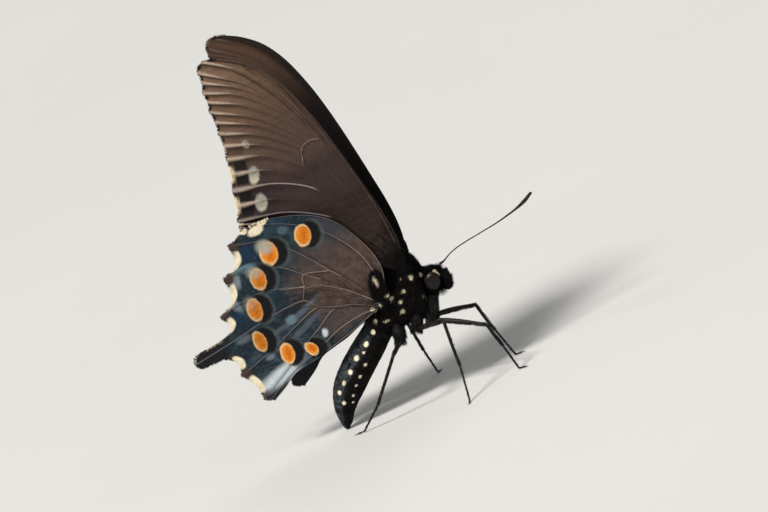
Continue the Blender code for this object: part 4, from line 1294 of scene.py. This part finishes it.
def leg(points):
    """Builds one leg: hip, thigh, shin and a foot of five segments with two claws and a pair of spurs."""
    hip, coxa_end, knee, ankle, heel, toe = (np.array(point) for point in points)
    across = unit(np.cross(knee - coxa_end, heel - knee))
    joints = (hip, coxa_end, knee, ankle)
    shapes = [
        tube_between(start, end, radii, across, bend)
        for start, end, (radii, bend) in zip(joints, joints[1:], LEG_STRETCHES)
    ]
    foot = resampled((ankle, heel, toe), FOOT_CUTS[-1], smooth=False)
    foot[:, 2] = np.maximum(foot[:, 2], TARSUS_RADIUS + 0.015)
    for number, (first, last) in enumerate(zip(FOOT_CUTS, FOOT_CUTS[1:])):
        part = foot[first:last]
        share = np.linspace(0, 1, len(part))
        radii = (TARSUS_RADIUS - 0.012 * number) * (0.82 + 0.18 * share)
        shapes.append(swept(part, radii, 12, across))
    return Shape.joined(shapes + claws_and_spurs(ankle, heel, toe, across))


def limb_coat(parts, number, seed, sheen=0.25):
    """Covers the stretches of a limb with hairs that lie towards its end.

    A part is its start, end and radius, its number of hairs, their length and their lift. The roots
    are start + share (end − start) + radius · (cos a · side + sin a · (axis × side)).
    """
    rng = np.random.default_rng(seed)
    grown = []
    for part, (start, end, radius, count, length, lift) in enumerate(parts):
        start, end = np.array(start), np.array(end)
        share, turn = rng.uniform(0.02, 0.98, count), rng.uniform(0, TAU, count)
        axis = unit(end - start)
        side = unit(np.cross(axis, (0.3, 1.0, 0.2)))
        out = np.cos(turn)[:, None] * side + np.sin(turn)[:, None] * np.cross(axis, side)
        roots = start + share[:, None] * (end - start) + out * radius
        lie = np.broadcast_to(axis, out.shape)
        values = {"cream": 0 * share, "sheen": sheen + 0 * share}
        shape = tufts(roots, lie, out, length, 0.05, lift, 0.12, seed + part, **values)
        right, up = 0.01 + 0.24 * part + 0.22 * share, 0.02 + 0.16 * number + 0.14 * turn / TAU
        shape.values["OFBake"] = patch(np.stack((right, up), axis=-1))
        shape.points[:, 2] = np.maximum(shape.points[:, 2], GROUND_GAP)
        grown.append(shape)
    return Shape.joined(grown)


def leg_coat(name, number, seed):
    """Covers one leg: shaggy at the hip, then ever shorter and finer down to the foot.

    The hair of the front hips is the longest. It begins above the hip and fills the space under the
    head.
    """
    hip, coxa_end, knee, ankle, heel, _ = LEGS[name]
    hairs = list(LEG_HAIRS)
    if name.startswith("front"):
        hip = (hip[0] + 0.4, hip[1] * 0.8, hip[2] + 1.0)
        hairs[0] = (*hairs[0][:2], FRONT_SHAG, hairs[0][3])
    joints = (hip, coxa_end, knee, ankle, heel)
    return limb_coat([(*part, *hair) for *part, hair in zip(joints, joints[1:], hairs)], number, seed)


def palp_coat(sign, seed):
    """Covers one palp with hair that lies upwards along it."""
    points = mirrored(PALP, sign)
    radii, lengths = (0.26, 0.33, 0.28), (0.8, 0.85, 0.6)
    parts = [(a, b, r, 500, length, 0.75) for a, b, r, length in zip(points, points[1:], radii, lengths)]
    return limb_coat(parts, int(sign > 0), seed, 0.1)


# ---- the wings' sheets, veins and fringes -------------------------------------------------------

SHEET_HALF = 0.07
PLEAT = {"forewing": 0.19, "hindwing": 0.035}  # how high the pleats stand near the margin
FOLD_RIDGE = {"forewing": 0.12, "hindwing": 0.02}
RIDGE_ROOT, RIDGE_MARGIN = 0.13, 0.06  # how high the veins stand at the wing's root and margin
CROSS_VEIN_RADIUS = 0.12
FRINGE_PER_MM = 20
BASE_HAIRS = 500
WINGS = {  # veins, forks, margin, finishes, slot, and how far out the hair of the base reaches
    "forewing": (FOREWING_VEINS, FOREWING_FORKS, forewing_margin, (forewing_outer, forewing_inner),
                 "forewing_brown", 0.16),
    "hindwing": (HINDWING_VEINS, HINDWING_FORKS, hindwing_margin, (hindwing_outer, hindwing_inner),
                 "hindwing_blue", 0.34),
}
BASE_HAIR_TONES = {
    "forewing": ((0.012, 0.008, 0.007), (0.040, 0.024, 0.020)),
    "hindwing": ((0.065, 0.042, 0.034), (0.12, 0.08, 0.062)),
}
ROOT_TUFTS = {  # number, centre, radii and turn of the hair over a wing's root, and the cream dots in it
    "forewing": (1100, (1.0, 1.0), (0.95, 2.3), -14, ()),
    "hindwing": (2400, (1.1, 2.3), (1.3, 3.5), -9, (
        ((-0.12, -0.35), (0.5, 0.55)), ((1.0, 3.75), (0.42, 1.1)), ((1.6, 0.6), (0.3, 0.35)),
    )),
}
CROSS_VEINS = {  # the fine veins that tie the long ones together, and those by the front edge
    "forewing": {
        "cell_end": ("forewing cell veins", (0.13, 0.09, 0.075), (0.27, 0.20, 0.17), (
            ((-2.8, 26.4), (-4.2, 26.7), (-6.0, 25.9), (-7.0, 22.9)),
        )),
        "front_veins": ("forewing front veins", (0.060, 0.036, 0.028), (0.10, 0.06, 0.045), (
            ((1.45, 4.5), (1.35, 9.0), (0.7, 15.0), (-0.3, 21.0), (-1.4, 26.5), (-2.7, 32.4)),
            ((-0.5, 18.5), (-1.55, 24.0), (-2.9, 30.0), (-4.3, 35.5), (-5.7, 39.8)),
            ((-1.7, 24.0), (-3.5, 30.5), (-5.9, 37.0), (-9.3, 43.6)),
            ((-3.7, 29.5), (-6.0, 35.4), (-9.2, 40.8), (-13.1, 45.6)),
        )),
    },
    "hindwing": {
        "cell_end": ("hindwing cell veins", (0.17, 0.11, 0.085), (0.27, 0.19, 0.15), (
            ((-5.3, 8.5), (-9.5, 9.5), (-10.4, 7.5), (-11.5, 5.4)),
            ((-10.4, 7.5), (-14.4, 8.6)),
            ((-0.4, 0.4), (-4.2, 4.2), (-7.9, 6.7), (-10.3, 7.2)),
        )),
    },
}


def on_wing(wing, side, plan):
    """Takes points of a wing's plan to their place on that side of the butterfly."""
    root, swing = WING_STANCE[f"{wing}_{side}"]
    return stand_up(plan, root, RIGHT if side == "right" else LEFT, swing)


def plan_map(flat):
    """Lays points of the flat wing on the UV map "plan"."""
    return (flat + PLAN_CORNER) / PLAN_WIDTH


def outwards_from(side):
    """Gives the direction square to a side's wings, away from the body."""
    sign = RIGHT if side == "right" else LEFT
    return np.array((0.0, sign * math.cos(WING_OPENING), -math.sin(WING_OPENING)))


def sheet(wing, plan, side):
    """Builds one wing as two layers of scales, joined at their rim.

    A layer stands SHEET_HALF and the ridges of veins and folds off the wing's middle. The middle
    itself is pleated near the margin by PLEAT · cos(2π m), where m runs from 0 at a vein to 1 at the
    fold. Where veins stand less than 3 mm apart, the pleat is lower.
    """
    spacing = np.linalg.norm(np.gradient(plan.points, axis=1), axis=-1)
    room = eased(spacing * CELL_COLUMNS, 0.6, 3.0)
    pleat = PLEAT[wing] * eased(plan.reach, 0.4, 0.95) * np.cos(TAU * plan.middle) * room
    ridge = plan.crest * (RIDGE_ROOT + (RIDGE_MARGIN - RIDGE_ROOT) * plan.reach)
    ridge = ridge + plan.fold * FOLD_RIDGE[wing] * eased(plan.margin, 8.0, 3.0)
    flat, out = on_wing(wing, side, plan.points), outwards_from(side)
    outer = flat + (pleat + SHEET_HALF + ridge)[..., None] * out
    inner = flat + (pleat - SHEET_HALF - ridge * 0.6)[..., None] * out
    rows, columns = pleat.shape
    count = rows * columns
    faces = grid_faces(rows, columns, False)
    rim = np.concatenate((
        np.arange(columns),
        np.arange(1, rows) * columns + columns - 1,
        (rows - 1) * columns + np.arange(columns - 2, -1, -1),
        np.arange(rows - 2, 0, -1) * columns,
    ))
    ahead = np.roll(rim, -1)
    band = np.stack((ahead, rim, rim + count, ahead + count), axis=-1)
    names = ("crest", "middle", "margin", "reach", "behind", "front", "rear")
    values = {name: np.tile(getattr(plan, name).ravel(), 2) for name in names}
    values["plan"] = np.tile(plan_map(plan.points.reshape(-1, 2)), (2, 1))
    points = np.concatenate((outer.reshape(-1, 3), inner.reshape(-1, 3)))
    shape = Shape(points, [faces, faces[:, ::-1] + count, band], **values).outwards()
    numbers = np.concatenate((np.zeros(len(faces)), np.ones(len(faces)), np.zeros(len(band))))
    return shape, numbers


def cross_veins(wing, side, courses):
    """Builds fine veins as tubes that stand out of the wing's outer face and taper to their ends."""
    share = np.linspace(0, 1, 40)
    radii = CROSS_VEIN_RADIUS * np.sqrt(1 - 0.85 * share**3)
    paths = [on_wing(wing, side, resampled(points, len(share))) for points in courses]
    proud = outwards_from(side) * 0.1
    return Shape.joined([swept(path + proud, radii, 8, SIDEWAYS) for path in paths])


def wing_tufts(wing, side, start, ahead, proud, cream, tile, *growth):
    """Grows tufts on a wing from the places start of its plan towards the places ahead.

    They root proud of the wing's middle by so much. The growth is length, width, lift, curl and seed.
    """
    out = np.tile(outwards_from(side), (len(start), 1))
    roots = on_wing(wing, side, start)
    lie = unit(on_wing(wing, side, ahead) - roots)
    shape = tufts(roots + proud * out, lie, out, *growth, cream=cream, sheen=0 * cream)
    shape.values["OFBake"] = patch(tile)
    return shape


def fringe(wing, plan, side, seed):
    """Grows a fringe of fine scales out of the wing's margin, square to it.

    It is cream in the notches and, on the hindwing, along the front corner and the tail's top.
    """
    rng = np.random.default_rng(seed)
    edge, inside = plan.points[-1], plan.points[-5]
    length = run_length(edge)
    count = int(length[-1] * FRINGE_PER_MM)
    where = np.sort(rng.uniform(0, length[-1], count))
    place, inner = read_off(where, length, edge), read_off(where, length, inside)
    middle = np.interp(where, length, plan.middle[-1])
    rising = length + 1e-6 * np.arange(len(length))
    slope = unit(read_off(where, length, np.gradient(edge, rising, axis=0)))
    square = np.stack((slope[:, 1], -slope[:, 0]), axis=-1)
    away = unit(square * np.sign(np.einsum("ij,ij->i", square, place - inner))[:, None])
    start = place - away * 0.25
    jitter = rng.uniform(-1, 1, count)[:, None] * SHEET_HALF
    x, h = place.T
    cream = eased(middle, 0.35, 0.6) * (x < -15.0)
    if wing == "forewing":
        cream = cream * (1.0 - eased(h, 27.0, 33.0))
    else:
        on_tail = (x < -26.6) & (h > -0.2)
        within = eased(h - x * NOTCH_SLOPE, *NOTCH_REAR) * eased(h, *NOTCH_FRONT)
        cream = cream * (within * (1 - on_tail))
        at_corner = (h > 19.4) * (np.abs(x + 13.8) < 2.9) * (np.abs(x + 14.85) > 0.2)
        on_top = 0.6 * on_tail * (x > -30.0) * (h > 2.2)
        cream = np.maximum(cream, np.maximum(at_corner, on_top))
    tile = np.stack((0.01 + 0.95 * where / length[-1], 0.02 + 0.9 * rng.uniform(0, 1, count)), axis=-1)
    ahead = start + away * 0.3
    return wing_tufts(wing, side, start, ahead, jitter, cream, tile, 0.5, 0.075, 0.0, 0.0, seed + 1)


def wing_base_coat(wing, plan, side, seed, share):
    """Covers the base of a wing's outer face with hairs that lie along the wing.

    Their roots are points of the plan's grid, up to a share of the way out and no nearer than
    0.8 mm to the wing's root, thicker towards the root. Four times too many are drawn.
    """
    rng = np.random.default_rng(seed)
    rows = 2 + (rng.uniform(0, 1, BASE_HAIRS * 4) ** 1.4 * share * WING_ROWS).astype(int)
    columns = rng.integers(2, plan.points.shape[1] - 3, BASE_HAIRS * 4)
    flat, ahead = plan.points[rows, columns], plan.points[rows + 2, columns]
    keep = np.linalg.norm(flat, axis=1) > 0.8
    flat, ahead = flat[keep][:BASE_HAIRS], ahead[keep][:BASE_HAIRS]
    growth = (0.9, 0.03, 0.14, 0.05, seed + 1)
    return wing_tufts(wing, side, flat, ahead, SHEET_HALF, np.zeros(len(flat)), plan_map(flat), *growth)


def root_tuft(wing, side, seed):
    """Grows the shaggy black hair over a wing's root, with the cream dots that grow in it.

    Its roots fill the ellipse ROOT_TUFTS of the wing's plan evenly: with u and v drawn from 0 to 1,
    centre + √u (a cos 2πv, b sin 2πv), turned.
    """
    rng = np.random.default_rng(seed)
    count, (cx, ch), (a, b), turn, dots = ROOT_TUFTS[wing]
    far, around = np.sqrt(rng.uniform(0, 1, count)), rng.uniform(0, TAU, count)
    across, up = far * a * np.cos(around), far * b * np.sin(around)
    c, s = math.cos(math.radians(turn)), math.sin(math.radians(turn))
    flat = np.stack((cx + c * across - s * up, ch + s * across + c * up), axis=-1)
    ahead = flat + np.stack((-0.8 + 0.1 * up, -0.5 + 0.1 * up), axis=-1)
    place = flat + unit(ahead - flat) * 0.25
    cream = np.zeros(count)
    for (x, h), (wide, high) in dots:
        off = np.hypot((place[:, 0] - x) / wide, (place[:, 1] - h) / high)
        cream = np.maximum(cream, 1 - eased(off, 0.9, 1.1))
    growth = (0.85 - 0.45 * cream, 0.05, 0.45, 0.2, seed + 1)
    return wing_tufts(wing, side, flat, ahead, SHEET_HALF, cream, plan_map(flat), *growth)


# ---- camera, floor and light --------------------------------------------------------------------

VIEW_TURN, VIEW_RISE, VIEW_ROLL = math.radians(10.0), math.radians(12.0), math.radians(24.1)
VIEW_MIDDLE = (0.95, 0.0, 25.15)
VIEW_WIDTH = 128.0  # what the camera's frame takes in from side to side
CAMERA_AWAY = 3.0
BOWL_FLAT, BOWL_EDGE, BOWL_HEIGHT = 5.5, 9.0, 9.0
BANK_PLACE, BANK_WIDTH, BANK_HEIGHT = 1.25, 0.5, 0.05  # a low rise that closes the view from near the floor
BOWL_SIDES = 96
LIGHTS = (  # name, compass turn and height in degrees, distance, size, power and colour
    ("key light", -42, 55, 5.0, 1.3, 285, (1.0, 0.975, 0.93)),
    ("fill light", 60, 35, 5.5, 4.0, 18, (0.95, 0.98, 1.0)),
    ("back light", 165, 45, 5.5, 3.0, 45, (1.0, 1.0, 1.0)),
)
ROOM_COLOUR, ROOM_STRENGTH = (0.94, 0.96, 1.0, 1.0), 0.28


def view_axes():
    """Gives the camera's right, up and backward directions: turned, raised, then rolled."""
    c, s, level = math.cos(VIEW_TURN), math.sin(VIEW_TURN), math.cos(VIEW_RISE)
    across, ahead = np.array((c, s, 0.0)), np.array((-s * level, c * level, -math.sin(VIEW_RISE)))
    upward = np.cross(across, ahead)
    right = math.cos(VIEW_ROLL) * across - math.sin(VIEW_ROLL) * upward
    up = math.sin(VIEW_ROLL) * across + math.cos(VIEW_ROLL) * upward
    return right, up, -ahead


def add_camera():
    """Places the camera far off behind a long lens, so that the view has hardly any perspective."""
    data = bpy.data.cameras.new("camera")
    data.sensor_width = 36.0
    data.lens = data.sensor_width * CAMERA_AWAY / (VIEW_WIDTH * MM)
    data.clip_start, data.clip_end = 0.1, 40.0
    camera = bpy.data.objects.new("camera", data)
    right, up, back = view_axes()
    place = (np.array(VIEW_MIDDLE) + SHIFT) * MM + back * CAMERA_AWAY
    turned = Matrix([[*row, 0.0] for row in np.stack((right, up, back), axis=1)] + [[0.0, 0.0, 0.0, 1.0]])
    camera.matrix_world = Matrix.Translation(Vector(place)) @ turned
    bpy.context.scene.collection.objects.link(camera)
    bpy.context.scene.camera = camera


def add_light(name, azimuth, elevation, away, size, power, colour):
    """Places a square lamp that faces the middle of the butterfly, from a compass turn and a height."""
    data = bpy.data.lights.new(name, "AREA")
    data.shape, data.size, data.energy, data.color = "SQUARE", size, power, colour
    lamp = bpy.data.objects.new(name, data)
    turn, rise = math.radians(azimuth), math.radians(elevation)
    way = Vector((math.cos(rise) * math.sin(turn), -math.cos(rise) * math.cos(turn), math.sin(rise)))
    target = Vector((np.array(VIEW_MIDDLE) + SHIFT) * MM)
    faced = way.to_track_quat("Z", "Y").to_matrix().to_4x4()
    lamp.matrix_world = Matrix.Translation(target + way * away) @ faced
    bpy.context.scene.collection.objects.link(lamp)


def add_bowl():
    """Builds the floor and backdrop in one: flat to BOWL_FLAT, then rising along a quarter ellipse.

    A low bank rings the flat. Its height is BANK_HEIGHT (1 + cos(π (r − BANK_PLACE) / BANK_WIDTH)) / 2.
    """
    flat = np.unique(np.concatenate((np.linspace(0, BOWL_FLAT, 12), np.linspace(0.7, 1.8, 45))))
    bank = BANK_HEIGHT * (1 + np.cos(math.pi * np.clip((flat - BANK_PLACE) / BANK_WIDTH, -1, 1))) / 2
    turn = np.linspace(0, math.pi / 2, 24)[1:]
    reach = np.concatenate((flat, BOWL_FLAT + (BOWL_EDGE - BOWL_FLAT) * np.sin(turn), [BOWL_EDGE]))
    height = np.concatenate((bank, (BOWL_EDGE - BOWL_FLAT) * (1 - np.cos(turn)), [BOWL_HEIGHT]))
    around = np.arange(BOWL_SIDES) * TAU / BOWL_SIDES
    up = np.broadcast_to(height[:, None], (len(reach), BOWL_SIDES))
    rings = np.stack((np.outer(reach, np.cos(around)), np.outer(reach, np.sin(around)), up), axis=-1)[1:]
    points = np.concatenate((rings.reshape(-1, 3), [(0.0, 0.0, 0.0)]))
    spoke = np.arange(BOWL_SIDES)
    middle = np.stack((0 * spoke + len(points) - 1, spoke, (spoke + 1) % BOWL_SIDES), axis=-1)
    mesh, _ = new_mesh("floor", points, [grid_faces(len(rings), BOWL_SIDES, True)[:, ::-1], middle])
    paint = Paint("floor", roughness=0.85, specular_ior_level=0.2)
    mottle = paint.noise(paint.node("ShaderNodeTexCoord", output="Object"), 6.0, 3.0)
    paint.feed(Base_Color=paint.mix(mottle, (0.60, 0.595, 0.58), (0.66, 0.655, 0.64)))
    mesh.materials.append(paint.material)
    floor = bpy.data.objects.new("floor", mesh)
    bpy.context.scene.collection.objects.link(floor)


# ---- the add-on ---------------------------------------------------------------------------------


class SwallowtailLooks(bpy.types.PropertyGroup):
    """The sizes and colours that a user would change."""

    hindwing_blue: bpy.props.FloatVectorProperty(
        name="Hindwing blue", description="The steel blue of the hindwing's outer half", subtype="COLOR",
        default=(0.008, 0.019, 0.031), min=0.0, max=1.0,
    )
    spot_orange: bpy.props.FloatVectorProperty(
        name="Spot orange", description="The orange of the hindwing's seven spots", subtype="COLOR",
        default=(0.88, 0.27, 0.012), min=0.0, max=1.0,
    )
    cream: bpy.props.FloatVectorProperty(
        name="Cream", description="The cream of the body's dots and the wings' notches", subtype="COLOR",
        default=(0.92, 0.82, 0.60), min=0.0, max=1.0,
    )
    forewing_tint: bpy.props.FloatVectorProperty(
        name="Forewing tint", description="Multiplies the forewing's browns", subtype="COLOR",
        default=(1.0, 1.0, 1.0), min=0.0, max=1.0,
    )
    coat_length: bpy.props.FloatProperty(
        name="Coat length", description="How long the hair on the thorax is", unit="LENGTH",
        default=1.25 * MM, min=0.3 * MM, max=3.0 * MM,
    )
    coat_amount: bpy.props.FloatProperty(
        name="Coat amount", description="Scales the number of tufts on the body", subtype="FACTOR",
        default=1.0, min=0.1, max=1.1,
    )
    light_strength: bpy.props.FloatProperty(
        name="Light strength", description="Scales every lamp", subtype="FACTOR",
        default=1.0, min=0.0, max=10.0,
    )


class SWALLOWTAIL_OT_stage(bpy.types.Operator):
    """Adds the floor, the camera and the studio light"""

    bl_idname = "swallowtail.stage"
    bl_label = "Stage"

    def execute(self, context):
        add_bowl()
        add_camera()
        strength = context.scene.swallowtail.light_strength
        for name, azimuth, elevation, away, size, power, colour in LIGHTS:
            add_light(name, azimuth, elevation, away, size, power * strength, colour)
        world = bpy.data.worlds.new("pale room")
        world.use_nodes = True
        world.node_tree.nodes["Background"].inputs["Color"].default_value = ROOM_COLOUR
        world.node_tree.nodes["Background"].inputs["Strength"].default_value = ROOM_STRENGTH
        context.scene.world = world
        context.scene.view_settings.view_transform = "Standard"
        return {"FINISHED"}


class SWALLOWTAIL_OT_wings(bpy.types.Operator):
    """Builds the four wings: sheets of scales, fine veins, fringes and the hair at their roots"""

    bl_idname = "swallowtail.wings"
    bl_label = "Wings"

    def execute(self, context):
        fringes = coat_finish("margin fringe", (0.012, 0.009, 0.009), (0.040, 0.028, 0.024))
        shaggy = coat_finish("root hair", (0.003, 0.0025, 0.0025), (0.014, 0.012, 0.012))
        for number, (wing, (veins, forks, margin, faces, slot, hairy)) in enumerate(WINGS.items()):
            plan = Plan(veins, forks, margin())
            finishes = [paint_face() for paint_face in faces]
            horns = {group: horn_finish(*CROSS_VEINS[wing][group][:3]) for group in CROSS_VEINS[wing]}
            base = coat_finish(f"{wing} base hair", *BASE_HAIR_TONES[wing])
            for side, sign in SIDES:
                shape, sheets = sheet(wing, plan, side)
                make_piece(f"{wing}_sheet_{side}", shape, finishes, sheets, (f"{wing}_{side}",))
                for group, (*_, courses) in CROSS_VEINS[wing].items():
                    tubes = cross_veins(wing, side, courses)
                    make_piece(f"{wing}_{group}_{side}", tubes, [horns[group]])
                seed = 40 + 10 * number + (sign > 0)
                make_piece(f"{wing}_fringe_{side}", fringe(wing, plan, side, seed), [fringes])
                hair = wing_base_coat(wing, plan, side, seed + 4, hairy)
                make_piece(f"{wing}_base_hair_{side}", hair, [base])
        for side, sign in SIDES:
            for wing in WINGS:
                tuft = root_tuft(wing, side, 70 + sign)
                make_piece(f"{wing}_root_hair_{side}", tuft, [shaggy])
        return {"FINISHED"}


class SWALLOWTAIL_OT_body(bpy.types.Operator):
    """Builds the skin over head, thorax and abdomen"""

    bl_idname = "swallowtail.body"
    bl_label = "Body skin"

    def execute(self, context):
        nodes = ("head", "thorax", "abdomen_base", "abdomen_middle", "abdomen_tip")
        make_piece("body_skin", body_skin(), [skin_finish()], replaced=nodes)
        return {"FINISHED"}


class SWALLOWTAIL_OT_coat(bpy.types.Operator):
    """Grows the hair of the thorax and head and the scales of the abdomen"""

    bl_idname = "swallowtail.coat"
    bl_label = "Coat"

    def execute(self, context):
        looks = context.scene.swallowtail
        hairy = coat_finish("thorax hair", (0.0025, 0.002, 0.002), (0.020, 0.017, 0.016))
        scaly = coat_finish("abdomen scales", (0.003, 0.0025, 0.0025), (0.018, 0.016, 0.015))

        def thorax_length(along, turn):
            """Gives the thorax's hair: nearly twice as long below as above."""
            below = eased(np.sin(turn), -0.1, -0.8) * eased(along, 8.5, 10.5)
            return looks.coat_length / MM * (0.85 + 0.95 * below)

        lengths = {"thorax": thorax_length, "abdomen": 0.6, "head": head_length}
        for region, (low, high, count, width, lift, curl, seed, lean) in COATS.items():
            count = int(count * looks.coat_amount)
            grown = trunk_coat(low, high, count, lengths[region], width, lift, curl, seed, lean)
            finish = scaly if region == "abdomen" else hairy
            make_piece(f"coat_{region}", grown, [finish])
        return {"FINISHED"}


class SWALLOWTAIL_OT_head(bpy.types.Operator):
    """Builds the eyes, palps, antennae and the coiled tongue"""

    bl_idname = "swallowtail.head"
    bl_label = "Head's parts"

    def execute(self, context):
        eye = eye_finish()
        horn = horn_finish("antenna horn", (0.008, 0.006, 0.005), (0.030, 0.015, 0.010))
        bristle = coat_finish("palp hair", (0.005, 0.004, 0.004), (0.022, 0.019, 0.018))
        scaly = horn_finish("palp scales", (0.006, 0.005, 0.005), (0.016, 0.013, 0.013))
        for side, sign in SIDES:
            rows = (
                (f"eye_ball_{side}", eyeball(sign), eye, (f"eye_{side}",), "eye_black"),
                (f"antenna_skin_{side}", antenna(ANTENNAE[side]), horn, (f"antenna_{side}",), "horn_black"),
                (f"palp_skin_{side}", palp(sign), scaly, (f"palp_{side}",), "body_black"),
                (f"palp_hair_{side}", palp_coat(sign, 90 + sign), bristle, (), "body_black"),
            )
            for name, shape, finish, nodes, slot in rows:
                make_piece(name, shape, [finish], replaced=nodes)
        make_piece("tongue_coil", tongue(), [horn], replaced=("tongue",))
        return {"FINISHED"}


class SWALLOWTAIL_OT_legs(bpy.types.Operator):
    """Builds the six legs with their hairs, spurs and claws"""

    bl_idname = "swallowtail.legs"
    bl_label = "Legs"

    def execute(self, context):
        horn = horn_finish("leg horn", (0.007, 0.006, 0.006), (0.022, 0.016, 0.013))
        hair = coat_finish("leg hair", (0.004, 0.003, 0.0028), (0.024, 0.016, 0.012))
        for number, (name, points) in enumerate(LEGS.items()):
            nodes = [f"{part}_{name}" for part in ("coxa", "femur", "tibia", "tarsus")]
            make_piece(f"leg_{name}", leg(points), [horn], replaced=nodes)
            coat = leg_coat(name, number, 60 + 5 * number)
            make_piece(f"leg_hair_{name}", coat, [hair])
        return {"FINISHED"}


STEPS = (
    SWALLOWTAIL_OT_stage,
    SWALLOWTAIL_OT_body,
    SWALLOWTAIL_OT_head,
    SWALLOWTAIL_OT_legs,
    SWALLOWTAIL_OT_wings,
    SWALLOWTAIL_OT_coat,
)


class SWALLOWTAIL_PT_panel(bpy.types.Panel):
    """Lists the sizes and colours, and the steps in order"""

    bl_idname = "SWALLOWTAIL_PT_panel"
    bl_label = "Swallowtail"
    bl_space_type = "VIEW_3D"
    bl_region_type = "UI"
    bl_category = "Swallowtail"

    def draw(self, context):
        for name in SwallowtailLooks.__annotations__:
            self.layout.prop(context.scene.swallowtail, name)
        for step in STEPS:
            self.layout.operator(step.bl_idname)


CLASSES = (SwallowtailLooks, *STEPS, SWALLOWTAIL_PT_panel)


def register():
    """Makes the settings, steps and panel known."""
    for each in CLASSES:
        bpy.utils.register_class(each)
    bpy.types.Scene.swallowtail = bpy.props.PointerProperty(type=SwallowtailLooks)


def unregister():
    """Takes them away again."""
    del bpy.types.Scene.swallowtail
    for each in reversed(CLASSES):
        bpy.utils.unregister_class(each)


def main():
    """Builds everything in order."""
    register()
    bpy.ops.swallowtail.stage()
    bpy.ops.swallowtail.body()
    bpy.ops.swallowtail.head()
    bpy.ops.swallowtail.legs()
    bpy.ops.swallowtail.wings()
    bpy.ops.swallowtail.coat()


if __name__ == "__main__":
    main()
